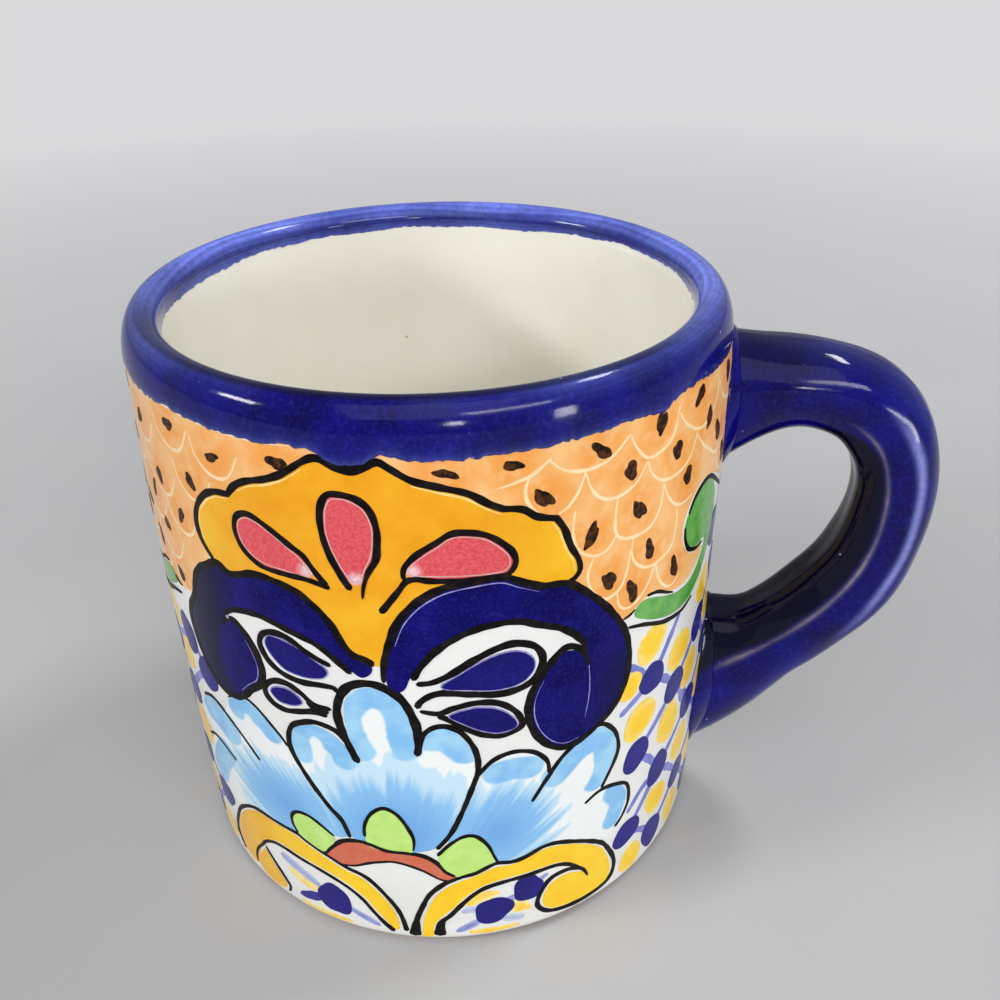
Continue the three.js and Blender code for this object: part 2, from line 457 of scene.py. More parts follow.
def blob(x, z, across, along=None, tilt=0.0, wobble=1.0):
    """Outline of a dab of paint: a soft oval that no two times is the same."""
    along = along or across
    phase = HAND.uniform(0, 6)
    turn = np.linspace(0, 2 * math.pi, max(18, int(14 * across)), endpoint=False)
    swell = 1 + wobble * ripple(turn, [(0.06, 2, phase), (0.04, 3, 2 * phase), (0.02, 5, 3 * phase)])
    u, v = across * swell * np.cos(turn), along * swell * np.sin(turn)
    lean = math.radians(tilt)
    return np.stack(
        [x + u * math.cos(lean) - v * math.sin(lean), z + u * math.sin(lean) + v * math.cos(lean)],
        -1,
    )


def front_places(places):
    """The drawing as it stands on the front."""
    return places


# The second painting wanders from the first between these heights
WANDER_HEIGHTS = (1, 8, 84, 89)


def back_places(places):
    """The same drawing half a turn on, painted again by an unsteady hand."""
    x, z = places[:, 0], places[:, 1]
    calm = np.cos(np.clip(x / QUARTER, -1, 1) * math.pi / 2) ** 2
    loose = calm * between(z, *WANDER_HEIGHTS)
    drift = 0.7 * np.sin(z / 13 + 1) + 0.5 * np.sin(x / 9 + 2)
    rise = 0.6 * np.sin(x / 11 + 0.7) + 0.4 * np.sin(z / 8)
    return np.stack([x + HALF_TURN + loose * drift, z + loose * rise], -1)


def lay(flats):
    """Parts on the wall, front and back, from drawn shapes."""
    parts = []
    for move in (front_places, back_places):
        for flat in flats:
            places = move(flat.places)
            x, z = places[:, 0], places[:, 1]
            parts.append(
                Part(
                    wall_point(x, z, flat.lift),
                    flat.faces,
                    x / (2 * HALF_TURN) + 0.5,
                    z / MUG_HEIGHT,
                    flat.values,
                    wall_normal(x, z),
                )
            )
    return parts


# Finishes


def srgb(red, green, blue):
    """A colour as seen on screen, 0 to 255, as the linear values a socket takes."""
    linear = []
    for value in (red, green, blue):
        share = value / 255
        linear.append(share / 12.92 if share <= 0.04045 else ((share + 0.055) / 1.055) ** 2.4)
    return (*linear, 1.0)


# Patches of more and less gloss in millimetres, and the strength of the relief
GLOSS_SIZE = 6.0
RELIEF_STRENGTH = 0.6


class Paint:
    """A material whose nodes are added one at a time."""

    def __init__(self, name, shine):
        self.material = bpy.data.materials.new(name)
        self.material.use_nodes = True
        self.nodes = self.material.node_tree.nodes
        self.links = self.material.node_tree.links
        self.shader = self.nodes["Principled BSDF"]
        self.shader.inputs["Specular IOR Level"].default_value = shine
        self.place = self.nodes.new("ShaderNodeTexCoord").outputs["Object"]

    def put(self, socket, value):
        """Sets a socket to a number or colour, or links it."""
        if isinstance(value, bpy.types.NodeSocket):
            self.links.new(value, socket)
        else:
            socket.default_value = value

    def add(self, kind, inputs, **settings):
        """A new node with its settings, whose inputs are set or linked."""
        node = self.nodes.new(kind)
        for key, value in settings.items():
            setattr(node, key, value)
        for key, value in inputs.items():
            self.put(node.inputs[key], value)
        return node

    def noise(self, size, detail=3.0, rough=0.55):
        """Cloudy noise whose patches are about size millimetres across."""
        scale = 1 / (size * MM)
        inputs = {"Vector": self.place, "Scale": scale, "Detail": detail, "Roughness": rough}
        return self.add("ShaderNodeTexNoise", inputs).outputs["Fac"]

    def cloud(self, size, detail, low, high, to_low=0.0, to_high=1.0):
        """Cloudy noise moved from one span to another."""
        return self.span(self.noise(size, detail), low, high, to_low, to_high)

    def specks(self, spacing, low, high):
        """1 in small round specks, 0 between them."""
        node = self.add("ShaderNodeTexVoronoi", {"Vector": self.place, "Scale": 1 / (spacing * MM)})
        return self.span(node.outputs["Distance"], high, low)

    def streaks(self, name, size):
        """Noise that changes only along a per-vertex value."""
        inputs = {"W": self.value(name), "Scale": 1 / size, "Detail": 2.0}
        return self.add("ShaderNodeTexNoise", inputs, noise_dimensions="1D").outputs["Fac"]

    def value(self, name):
        """A per-vertex value of the mesh."""
        return self.add("ShaderNodeAttribute", {}, attribute_name=name).outputs["Fac"]

    def span(self, value, low, high, to_low=0.0, to_high=1.0):
        """A value moved from one span to another, held at the ends."""
        inputs = {"Value": value, "From Min": low, "From Max": high, "To Min": to_low, "To Max": to_high}
        return self.add("ShaderNodeMapRange", inputs).outputs["Result"]

    def math(self, operation, first, second):
        """Two values added, multiplied and so on."""
        node = self.add("ShaderNodeMath", {0: first, 1: second}, operation=operation)
        return node.outputs["Value"]

    def mix(self, share, first, second):
        """First colour at share 0, second at share 1."""
        node = self.add("ShaderNodeMix", {"Factor": share}, data_type="RGBA")
        first_socket, second_socket = [s for s in node.inputs if s.type == "RGBA"]
        self.put(first_socket, first)
        self.put(second_socket, second)
        return next(s for s in node.outputs if s.type == "RGBA")

    def finish(self, colour, rough=(0.12, 0.22), grain=1.2, height=0.01):
        """Links the colour, an uneven gloss and a fine orange-peel relief."""
        self.put(self.shader.inputs["Base Color"], colour)
        self.put(self.shader.inputs["Roughness"], self.cloud(GLOSS_SIZE, 3.0, 0.3, 0.7, *rough))
        relief = {
            "Strength": RELIEF_STRENGTH,
            "Distance": height * MM,
            "Height": self.noise(grain, 2.0),
        }
        bump = self.add("ShaderNodeBump", relief)
        self.put(self.shader.inputs["Normal"], bump.outputs["Normal"])
        return self.material


def clay_finish():
    paint = Paint("fired_clay", 0.3)
    colour = paint.mix(paint.cloud(5.0, 3.0, 0.3, 0.7), srgb(196, 132, 92), srgb(222, 168, 128))
    colour = paint.mix(paint.specks(3.0, 0.05, 0.16), colour, srgb(128, 76, 52))
    return paint.finish(colour, (0.7, 0.9), 0.5, 0.06)


def white_finish():
    paint = Paint("white_glaze", 0.4)
    colour = paint.mix(paint.cloud(14.0, 3.0, 0.35, 0.65), srgb(237, 237, 234), srgb(229, 229, 226))
    colour = paint.mix(paint.specks(9.0, 0.02, 0.035), colour, srgb(150, 140, 128))
    return paint.finish(colour)


def cream_finish():
    paint = Paint("cream_glaze", 0.45)
    colour = paint.mix(paint.cloud(18.0, 3.0, 0.35, 0.65), srgb(253, 251, 241), srgb(248, 245, 233))
    # Pooled glaze and painted shade towards the floor
    colour = paint.mix(paint.value("pooled"), colour, srgb(234, 228, 210))
    colour = paint.mix(paint.specks(11.0, 0.02, 0.04), colour, srgb(176, 160, 128))
    return paint.finish(colour, (0.1, 0.2), 2.4, 0.012)


def cobalt_finish():
    paint = Paint("cobalt_glaze", 0.2)
    pool = paint.cloud(7.0, 4.0, 0.35, 0.7)
    colour = paint.mix(pool, srgb(4, 2, 70), srgb(11, 8, 118))
    mottle = paint.cloud(0.55, 4.0, 0.5, 0.75, 0.0, 0.34)
    colour = paint.mix(mottle, colour, srgb(46, 46, 160))
    wash = paint.span(paint.noise(1.3, 4.0, rough=0.6), 0.35, 0.65, 0.7, 1.0)
    brushed = paint.span(paint.streaks("lane", 0.6), 0.35, 0.65, 0.72, 1.1)
    # Paler where the glaze runs thin, partly painted sheen and painted highlight
    thin = paint.math("MULTIPLY", paint.value("thin"), paint.math("MULTIPLY", wash, brushed))
    colour = paint.mix(thin, colour, srgb(130, 148, 255))
    # Darker where the glaze is thick, with painted shade and painted dark reflection
    colour = paint.mix(paint.value("deep"), colour, srgb(5, 4, 26))
    # The crease, partly glaze breaking and partly painted highlight
    ridge = paint.math("MULTIPLY", paint.value("ridge"), wash)
    colour = paint.mix(ridge, colour, srgb(156, 146, 154))
    pepper = paint.math("MULTIPLY", paint.specks(1.1, 0.08, 0.18), 0.4)
    colour = paint.mix(pepper, colour, srgb(6, 4, 40))
    colour = paint.mix(paint.specks(4.5, 0.02, 0.05), colour, srgb(150, 154, 220))
    return paint.finish(colour, (0.05, 0.14), 0.7, 0.012)


def blue_fill_finish():
    paint = Paint("cobalt_fill", 0.08)
    pool = paint.cloud(5.0, 4.0, 0.32, 0.68)
    colour = paint.mix(pool, srgb(5, 3, 80), srgb(18, 14, 112))
    colour = paint.mix(paint.value("tone"), colour, srgb(58, 54, 144))
    grain = paint.cloud(0.5, 3.0, 0.5, 0.75, 0.0, 0.3)
    colour = paint.mix(grain, colour, srgb(52, 50, 146))
    colour = paint.mix(paint.value("shade"), colour, srgb(12, 10, 48))
    return paint.finish(colour, (0.12, 0.24))


def wash_finish():
    paint = Paint("cobalt_wash", 0.3)
    streak = paint.cloud(2.5, 4.0, 0.3, 0.7)
    colour = paint.mix(streak, srgb(92, 100, 186), srgb(140, 146, 214))
    colour = paint.mix(paint.value("pale"), colour, srgb(196, 206, 226))
    return paint.finish(colour, (0.14, 0.24))


def ink_finish():
    paint = Paint("black_line", 0.08)
    worn = paint.cloud(1.5, 4.0, 0.45, 0.8)
    colour = paint.mix(worn, srgb(12, 8, 9), srgb(40, 32, 30))
    return paint.finish(colour, (0.28, 0.42), 0.8, 0.015)


def seed_finish():
    paint = Paint("seed_brown", 0.1)
    worn = paint.cloud(0.8, 3.0, 0.42, 0.72)
    colour = paint.mix(worn, srgb(24, 14, 10), srgb(98, 56, 26))
    return paint.finish(colour, (0.28, 0.42), 0.8, 0.015)


def pale_edge_finish():
    paint = Paint("pale_edge", 0.3)
    cloud = paint.cloud(1.4, 3.0, 0.35, 0.65)
    lavender = paint.mix(cloud, srgb(112, 110, 178), srgb(172, 168, 208))
    straw = paint.mix(cloud, srgb(252, 222, 150), srgb(248, 204, 104))
    colour = paint.mix(paint.value("tone"), lavender, straw)
    return paint.finish(colour)


def scale_line_finish():
    paint = Paint("pale_scale_line", 0.4)
    colour = paint.mix(paint.cloud(2.0, 3.0, 0.35, 0.65), srgb(253, 227, 182), srgb(251, 212, 156))
    colour = paint.mix(paint.value("pale"), colour, srgb(248, 230, 214))
    return paint.finish(colour)


def orange_finish():
    paint = Paint("orange_enamel", 0.3)
    colour = paint.mix(paint.value("tone"), srgb(247, 195, 128), srgb(242, 162, 76))
    cloud = paint.cloud(2.2, 5.0, 0.45, 0.72, 0.0, 0.6)
    colour = paint.mix(cloud, colour, srgb(248, 208, 152))
    flush = paint.cloud(7.0, 2.0, 0.48, 0.7, 0.0, 0.5)
    colour = paint.mix(flush, colour, srgb(241, 156, 70))
    return paint.finish(colour)


def yellow_finish():
    paint = Paint("yellow_enamel", 0.3)
    cloud = paint.cloud(5.0, 4.0, 0.35, 0.7)
    amber = paint.mix(cloud, srgb(234, 156, 8), srgb(243, 174, 28))
    lemon = paint.mix(cloud, srgb(252, 200, 16), srgb(253, 214, 44))
    colour = paint.mix(paint.value("tone"), amber, lemon)
    pale = paint.math("MULTIPLY", paint.value("pale"), paint.cloud(1.8, 3.0, 0.3, 0.7))
    colour = paint.mix(pale, colour, srgb(252, 232, 156))
    return paint.finish(colour)


def red_finish():
    paint = Paint("red_enamel", 0.4)
    grain = paint.cloud(0.4, 2.0, 0.35, 0.75)
    rose = paint.mix(grain, srgb(212, 66, 78), srgb(228, 100, 104))
    brick = paint.mix(paint.cloud(2.5, 3.0, 0.3, 0.7), srgb(208, 96, 62), srgb(206, 114, 88))
    colour = paint.mix(paint.value("tone"), rose, brick)
    blush = paint.math("MULTIPLY", paint.value("pale"), paint.span(grain, 0.0, 1.0, 0.55, 1.0))
    colour = paint.mix(blush, colour, srgb(240, 218, 223))
    return paint.finish(colour)


def sky_finish():
    paint = Paint("sky_enamel", 0.3)
    finger = paint.span(paint.streaks("spoke", 1.5), 0.3, 0.7, -1.7, 1.7)
    streak = paint.span(paint.streaks("spoke", 0.7), 0.3, 0.7, -0.8, 0.8)
    base = paint.value("base")
    feather = paint.span(paint.math("ADD", paint.value("feather"), finger), -0.3, 0.4)
    body = paint.span(paint.math("ADD", base, paint.math("ADD", finger, streak)), -1.4, 1.4)
    deep = paint.span(paint.math("ADD", base, streak), 1.0, 7.0)
    colour = paint.mix(feather, srgb(238, 242, 241), srgb(198, 227, 244))
    blue = paint.mix(deep, srgb(140, 195, 238), srgb(112, 171, 230))
    colour = paint.mix(body, colour, blue)
    tip = paint.mix(paint.cloud(5.0, 2.0, 0.4, 0.6), srgb(132, 190, 237), srgb(162, 211, 241))
    colour = paint.mix(paint.span(paint.value("cap"), -0.2, 0.25), colour, tip)
    return paint.finish(colour)


def green_finish():
    paint = Paint("green_enamel", 0.4)
    cloud = paint.cloud(3.0, 4.0, 0.35, 0.7)
    lime = paint.mix(cloud, srgb(184, 226, 112), srgb(200, 234, 136))
    leaf = paint.mix(cloud, srgb(74, 152, 58), srgb(112, 178, 84))
    colour = paint.mix(paint.value("tone"), lime, leaf)
    return paint.finish(colour)


BACKDROP = srgb(218, 218, 220)
# Distances in metres over which the floor fades to the backdrop
FLOOR_FADE = (0.12, 0.6)


def floor_finish():
    """A plain pale floor that fades to the backdrop's colour away from the mug."""
    paint = Paint("plain_floor", 0.05)
    colour = paint.mix(paint.cloud(60.0, 3.0, 0.3, 0.7), srgb(188, 188, 190), srgb(192, 192, 193))
    material = paint.finish(colour, (0.5, 0.6), 3.0, 0.01)
    far = paint.add("ShaderNodeVectorMath", {0: paint.place}, operation="LENGTH")
    share = paint.span(far.outputs["Value"], *FLOOR_FADE)
    seen = paint.add("ShaderNodeLightPath", {}).outputs["Is Camera Ray"]
    plain = paint.add("ShaderNodeEmission", {"Color": BACKDROP}).outputs["Emission"]
    shares = {"Fac": paint.math("MULTIPLY", share, seen), 1: paint.shader.outputs["BSDF"], 2: plain}
    both = paint.add("ShaderNodeMixShader", shares).outputs["Shader"]
    paint.put(paint.nodes["Material Output"].inputs["Surface"], both)
    return material


# The thrown and glazed body

COLUMNS = 288
TURNS = np.arange(COLUMNS) * 2 * math.pi / COLUMNS


def revolve(profile, uneven=False, **options):
    """Part from (radius, height) points turned about the mug's axis, outside on the right."""
    grid = np.empty((len(profile), COLUMNS, 3))
    for row, (radius, z) in enumerate(profile):
        swell = unevenness(TURNS, z) if uneven else 0 * TURNS
        grid[row, :, 0] = (radius + swell) * np.cos(TURNS)
        grid[row, :, 1] = (radius + swell) * np.sin(TURNS)
        grid[row, :, 2] = z + lip_lean(TURNS, z)
    return skin(grid, **options)


def arc(centre, radius, start, end, count):
    """Points of an arc in the (radius, height) plane, angles in degrees."""
    turns = np.radians(np.linspace(start, end, count))
    return [(centre[0] + radius * math.cos(a), centre[1] + radius * math.sin(a)) for a in turns]


def inner_radius(z):
    """Radius of the glazed inside at a height."""
    return float(wall_radius(max(z, FOOT_HEIGHT))) - WALL_THICKNESS


FLOOR_BEND = FLOOR_TOP + FLOOR_FILLET
FLOOR_CORNER = (inner_radius(FLOOR_BEND) - FLOOR_FILLET, FLOOR_BEND)
LINER_TOP = LIP_CENTRE[1] + 0.1
# Heights between which the cream glaze gets deeper in colour towards the floor: partly pooled glaze,
# partly painted shade inside the cup
POOL_AND_SHADE_HEIGHTS = (38, 66)


def build_wall():
    """The white coat outside, bare at the foot."""
    foot = np.linspace(BARE_FOOT, 2 * FOOT_ROUNDING, 12)
    heights = np.concatenate([foot, np.linspace(2.5 * FOOT_ROUNDING, NECK_HEIGHT, 60)])
    outside = [(float(wall_radius(z)), z) for z in heights]
    within = [(float(wall_radius(z)) - COAT, z) for z in heights[::-3]]
    make_piece(
        "glazed_wall",
        [revolve(outside + within, True, wrap_rows=True)],
        white_finish(),
        ["outer_glaze"],
    )


def build_liner():
    """The cream coat inside, down the wall and over the floor."""
    wall = [(inner_radius(z), z) for z in np.linspace(LINER_TOP, FLOOR_BEND + 0.5, 40)]
    fillet = arc(FLOOR_CORNER, FLOOR_FILLET, 0, -90, 12)
    base = [(FLOOR_CORNER[0] * share, FLOOR_TOP) for share in np.linspace(0.94, 0.06, 10)]
    face = wall + fillet + base
    under = [(radius, z - COAT) for radius, z in base[::-1]]
    under += arc(FLOOR_CORNER, FLOOR_FILLET + COAT, -90, 0, 12)
    under += [(radius + COAT, z) for radius, z in wall[::-1]]
    heights = np.array([z for _, z in under + face])
    # Darker towards the floor: partly pooled glaze, partly painted shade
    pooled = np.tile((1 - smooth(heights, *POOL_AND_SHADE_HEIGHTS))[:, None], (1, COLUMNS))
    caps = ((0, 0, FLOOR_TOP - COAT), (0, 0, FLOOR_TOP))
    make_piece(
        "cream_liner",
        [revolve(under + face, False, values={"pooled": pooled}, caps=caps)],
        cream_finish(),
        ["liner_glaze"],
    )


def build_clay():
    """The clay cup between the coats, with its bare flat foot."""
    skinny = 2 * COAT
    rounding = FOOT_ROUNDING - COAT
    edge = (float(wall_radius(FOOT_HEIGHT)) - FOOT_ROUNDING, FOOT_HEIGHT)
    sole = [(edge[0] * share, FOOT_HEIGHT - rounding) for share in np.linspace(0.04, 0.96, 12)]
    foot = arc(edge, rounding, -90, -4, 10)
    wall = [(float(wall_radius(z)) - skinny, z) for z in np.linspace(4, NECK_HEIGHT, 30)]
    lip = arc(LIP_CENTRE, LIP_RADIUS - skinny, 0, 180, 16)
    heights = np.linspace(NECK_HEIGHT, FLOOR_BEND + 0.5, 24)
    inside_wall = [(inner_radius(z) + skinny, z) for z in heights]
    fillet = arc(FLOOR_CORNER, FLOOR_FILLET + skinny, 0, -90, 10)
    bottom = FLOOR_TOP - skinny
    base = [(FLOOR_CORNER[0] * share, bottom) for share in np.linspace(0.94, 0.04, 10)]
    profile = sole + foot + wall + lip + inside_wall + fillet + base
    part = revolve(profile, False, caps=((0, 0, sole[0][1]), (0, 0, bottom)))
    make_piece("clay_cup", [part], clay_finish(), ["cup_body"])


# Lower edge of the cobalt band on one face, as (place round the wall, height)
BAND_EDGE = [
    (-70.7, 89.3), (-63, 89.6), (-56, 89.2), (-50, 89.7), (-43, 90.1), (-36, 89.7), (-29, 90.1),
    (-20, 89.9), (-12, 89.8), (-8, 90.1), (-5, 89.6), (-3.4, 88.7), (-1.3, 88.2), (0.9, 88.6),
    (2.4, 89.5), (4.2, 89.6), (7, 89.0), (12, 88.9), (16, 89.2), (22, 89.1), (30, 89.4), (35, 89.5),
    (38.4, 89.0), (40.5, 88.6), (42.6, 89.5), (45.5, 90.0), (50, 89.8), (56, 89.3), (63, 89.1),
]
BAND_COLUMNS = 720
BAND_EMBED = 0.3
EDGE_FUZZ = 0.16
# How far the band reaches down inside, and how ragged its edge is there
INNER_DEPTH = 4.1
INNER_WAVES = [(0.2, 3, 0.6), (0.14, 8, 0), (0.14, 17, 1)]
INNER_FUZZ = 0.17
INNER_LIMIT = LIP_CENTRE[1] - 0.25
# The band inside is narrower on one side: by how much, at which turn and over how wide a reach
NARROW_RISE = 1.1
NARROW_TURN = 0.65
NARROW_REACH = 0.5
# How thin the glaze runs on the crest of the lip, round the mug; its paleness at the sides and back, and
# none at the front, is partly painted sheen
CREST_THIN_AND_SHEEN = 0.6
CREST_SHEEN_WAVES = [(0.25, 2, math.pi / 2), (0.35, 1, 0), (0.14, 5, 0.5), (0.1, 13, 1)]
# Angles over the lip, in degrees, at which the glaze is thinnest, and how far that spreads
CREST_ANGLE = 100
CREST_SPREAD = 36
INNER_CREST_ANGLE = 108
INNER_CREST_SPREAD = 50
# The glaze is also thin along the band's lower edge: how thin, and over how many millimetres
EDGE_THIN = 0.22
EDGE_REACH = 0.5
# Painted shade on the crest at the front: how much, where, and at which angles over the lip
CREST_SHADE = 0.75
CREST_SHADE_TURN = -1.6
CREST_SHADE_OUTER = (70, 84)
CREST_SHADE_INNER = (130, 165)
# Brush lanes round the rim wander up and down
LANE_WAVES = [(0.5, 3, 0), (0.3, 7, 1)]


def build_band():
    """The cobalt rim: a thick coat from the wall, over the rolled lip and a little way down inside."""
    turns = np.arange(BAND_COLUMNS) * 2 * math.pi / BAND_COLUMNS
    x = (turns - FRONT) * ARC_RADIUS
    face_x = (x + QUARTER) % HALF_TURN - QUARTER
    knots = BAND_EDGE + [(BAND_EDGE[0][0] + HALF_TURN, BAND_EDGE[0][1])]
    edge_line = spline(knots)
    edge = np.interp(face_x, edge_line[:, 0], edge_line[:, 1])
    fuzz = np.array([HAND.gauss(0, 1) for _ in range(BAND_COLUMNS)])
    fuzz = 0.6 * fuzz + 0.4 * np.roll(fuzz, 1)
    edge = edge + EDGE_FUZZ * fuzz
    inner_fuzz = np.array([HAND.gauss(0, 1) for _ in range(BAND_COLUMNS)])
    inner_fuzz = (inner_fuzz + np.roll(inner_fuzz, 1) + np.roll(inner_fuzz, 2)) / 3
    inner_edge = MUG_HEIGHT - INNER_DEPTH + ripple(turns, INNER_WAVES) + INNER_FUZZ * inner_fuzz
    narrow = np.exp(-((2 * np.sin((turns - NARROW_TURN) / 2) / NARROW_REACH) ** 2))
    inner_edge = np.minimum(inner_edge + NARROW_RISE * narrow, INNER_LIMIT)
    rows = []
    thin = []
    deep = []
    # Painted shade on the crest at the front
    front = CREST_SHADE * smooth(np.cos(turns - CREST_SHADE_TURN), 0.15, 0.7)
    # Thin glaze on the crest, paler at the sides and back: partly painted sheen
    crest_thin_and_sheen = np.clip(CREST_THIN_AND_SHEEN + ripple(turns, CREST_SHEEN_WAVES), 0, 1)
    rise = MUG_HEIGHT - SHOULDER
    above = np.clip((edge - SHOULDER) / rise, 0, 1)
    first = np.where(edge > SHOULDER, np.arcsin(above), (edge - SHOULDER) / rise)
    for share in np.linspace(0, 1, 22):
        lean = first + (math.pi / 2 - first) * share
        over = np.maximum(lean, 0)
        z = SHOULDER + rise * np.where(lean > 0, np.sin(over), lean)
        low = np.minimum(z, SHOULDER)
        wall = wall_radius(low) + unevenness(turns, low)
        radius = LIP_CENTRE[0] + (wall - LIP_CENTRE[0]) * np.cos(over)
        rows.append((radius, z, 0.85 + 0.15 * share))
        bump = np.exp(-(((np.degrees(over) - CREST_ANGLE) / CREST_SPREAD) ** 2))
        thin.append(np.maximum(EDGE_THIN * np.exp(-(z - edge) / EDGE_REACH), bump * crest_thin_and_sheen))
        deep.append(front * smooth(np.degrees(over), *CREST_SHADE_OUTER))
    for angle in np.linspace(96, 176, 12):
        lean = math.radians(angle)
        radius = LIP_CENTRE[0] + LIP_RADIUS * math.cos(lean) + 0 * turns
        rows.append((radius, LIP_CENTRE[1] + LIP_RADIUS * math.sin(lean) + 0 * turns, 1.0))
        bump = math.exp(-(((angle - INNER_CREST_ANGLE) / INNER_CREST_SPREAD) ** 2))
        thin.append(crest_thin_and_sheen * bump)
        deep.append(front * (1 - smooth(angle, *CREST_SHADE_INNER)))
    low = LIP_CENTRE[1]
    for share in np.linspace(0.12, 1, 7):
        z = low + (inner_edge - low) * share
        rows.append((wall_radius(z) - WALL_THICKNESS, z, 1.0 - 0.5 * share))
        fade = 0.5 * float(smooth(share, 0.8, 1))
        thin.append(np.clip(crest_thin_and_sheen * (0.3 + 0.3 * share) + fade, 0, 1))
        deep.append(0 * turns)
    outside = np.empty((len(rows), BAND_COLUMNS, 3))
    for i, (radius, z, share) in enumerate(rows):
        outside[i, :, 0] = radius
        outside[i, :, 1] = z
        outside[i, :, 2] = BAND_LIFT * share
    run = np.gradient(outside[:, :, :2], axis=0)
    run = run / np.linalg.norm(run, axis=-1, keepdims=True)
    normal = np.stack([run[..., 1], -run[..., 0]], -1)
    face = outside[:, :, :2] + normal * outside[:, :, 2:]
    under = (outside[:, :, :2] - BAND_EMBED * normal)[::-1]
    profile = np.concatenate([face, under])
    height = profile[..., 1] + lip_lean(turns, profile[..., 1])
    grid = np.stack([profile[..., 0] * np.cos(turns), profile[..., 0] * np.sin(turns), height], -1)
    steps = np.linalg.norm(np.diff(outside[:, :, :2], axis=0), axis=-1).mean(1)
    across = np.concatenate([[0], np.cumsum(steps)])
    lane = across[:, None] + ripple(turns, LANE_WAVES)
    fields = {"thin": np.array(thin), "deep": np.array(deep), "lane": lane}
    values = {name: np.concatenate([field, field[::-1]]) for name, field in fields.items()}
    part = skin(grid, values, wrap_rows=True)
    make_piece("cobalt_rim", [part], cobalt, ["rim_glaze"])


# The handle: two curves in the plane of the handle, thick at its roots

UPPER_ARM = [(42.7, 77.7), (57.8, 85.9), (71.95, 80.0), (71.95, 63.0)]
LOWER_ARM = [(71.95, 63.0), (71.95, 44.0), (60.8, 36.2), (42.7, 21.2)]
ARM_THICKNESS = 12.5
UPPER_THICKNESS = 22.0
HEEL_THICKNESS = 15.2
LOWER_THICKNESS = 28.0
ARM_WIDTH = 13.8
ROOT_WIDTH = 15.4
ROOT_REACH = 0.16
FLARE_REACH = 0.22
TURN_REACH = 0.3
HEEL_SPAN = (0.45, 0.85)
LUMP_SIZES = (0.12, 0.08)
HANDLE_ROWS = 190
HANDLE_COLUMNS = 100

# Half of the handle's section: outwards and sideways, with a crease where the inner face begins
SECTION = [
    (1, 0), (0.93, 0.4), (0.7, 0.75), (0.34, 0.96), (0, 1), (-0.3, 0.95), (-0.3, 0.95), (-0.62, 0.82),
    (-0.9, 0.62), (-1, 0.38), (-1, 0),
]
# Places round the section, from 0 on the back to 1 on the inner face, and widths of the marks there
CREASE = 0.6
CREASE_WIDTH = 0.014
ARCH_SHIFT = 0.16
CROWN_WIDTH = 0.22
# The painted highlight on the flank: its place and width
HIGHLIGHT_PLACE = 0.36
HIGHLIGHT_WIDTH = 0.032
# Shares of the handle's length over which the marks set in and fade
RIDGE_SPAN = (0.22, 0.4, 0.88, 0.97)
HIGHLIGHT_SPAN = (0.28, 0.42, 0.6, 0.78)
ARCH_SPAN = (0.12, 0.4)
POOL_AND_REFLECTION_SPAN = (0.1, 0.3)
POOL_AND_REFLECTION_PLACE = (0.2, 0.4)
# How pale the marks are: the crease, partly glaze breaking and partly painted highlight, the crown, and
# the painted highlight on the flank, which also greys a little
RIDGE_PALE = 0.9
CROWN_PALE = 0.14
HIGHLIGHT_PALE = 0.85
HIGHLIGHT_GREY = 0.4
# How dark the upper root is: glaze pooled there, and a painted dark reflection
POOL_AND_REFLECTION_DARK = 0.6
# How dark the inner face is, from thicker glaze and painted shade, and over how much of the section it
# darkens
INNER_GLAZE_AND_SHADE = 0.95
INNER_EDGE = 0.05


def bezier(controls, t):
    """Point and direction on a cubic curve."""
    a, b, c, d = (np.array(control) for control in controls)
    point = a * (1 - t) ** 3 + 3 * b * t * (1 - t) ** 2 + 3 * c * t**2 * (1 - t) + d * t**3
    run = 3 * (b - a) * (1 - t) ** 2 + 6 * (c - b) * t * (1 - t) + 3 * (d - c) * t**2
    return point, run / np.linalg.norm(run)


def section(angles):
    """Outward and sideways share of the handle's section at angles round it."""
    half = spline(SECTION, False, 0.03)
    steps = np.linalg.norm(np.diff(half, axis=0), axis=1)
    run = np.concatenate([[0], np.cumsum(steps)]) / np.sum(steps)
    share = np.arccos(np.cos(angles)) / math.pi
    side = np.interp(share, run, half[:, 1]) * np.where(np.sin(angles) < 0, -1, 1)
    return np.interp(share, run, half[:, 0]), side


def handle_ring(share, angles, grow=0.0):
    """Section of the handle at a share of its length: rows of x, y, z."""
    if share < 0.5:
        middle, run = bezier(UPPER_ARM, 2 * share)
    else:
        middle, run = bezier(LOWER_ARM, 2 * share - 1)
    upper = max(0.0, 1 - share / FLARE_REACH) ** 3
    lower = float(smooth(share, 1 - ROOT_REACH, 1))
    root = max(1 - float(smooth(share, 0, TURN_REACH)), lower)
    inward = np.array([run[1], -run[0]])
    upright = np.array([0.0, math.copysign(1, inward[1])])
    inward = inward + (upright - inward) * root
    inward = inward / np.linalg.norm(inward)
    thickness = ARM_THICKNESS + (UPPER_THICKNESS - ARM_THICKNESS) * upper
    thickness += (HEEL_THICKNESS - ARM_THICKNESS) * float(smooth(share, *HEEL_SPAN))
    thickness += (LOWER_THICKNESS - HEEL_THICKNESS) * lower
    width = ARM_WIDTH + (ROOT_WIDTH - ARM_WIDTH) * root
    back, side = section(angles)
    long, short = LUMP_SIZES
    lump = long * np.sin(23 * share + 2 * angles) + short * np.sin(41 * share + 3 * angles + 1)
    reach_out = -back * (thickness / 2 + grow + lump)
    ring = np.empty((len(angles), 3))
    ring[:, 0] = middle[0] + reach_out * inward[0]
    ring[:, 1] = side * (width / 2 + grow + lump)
    ring[:, 2] = middle[1] + reach_out * inward[1]
    return ring


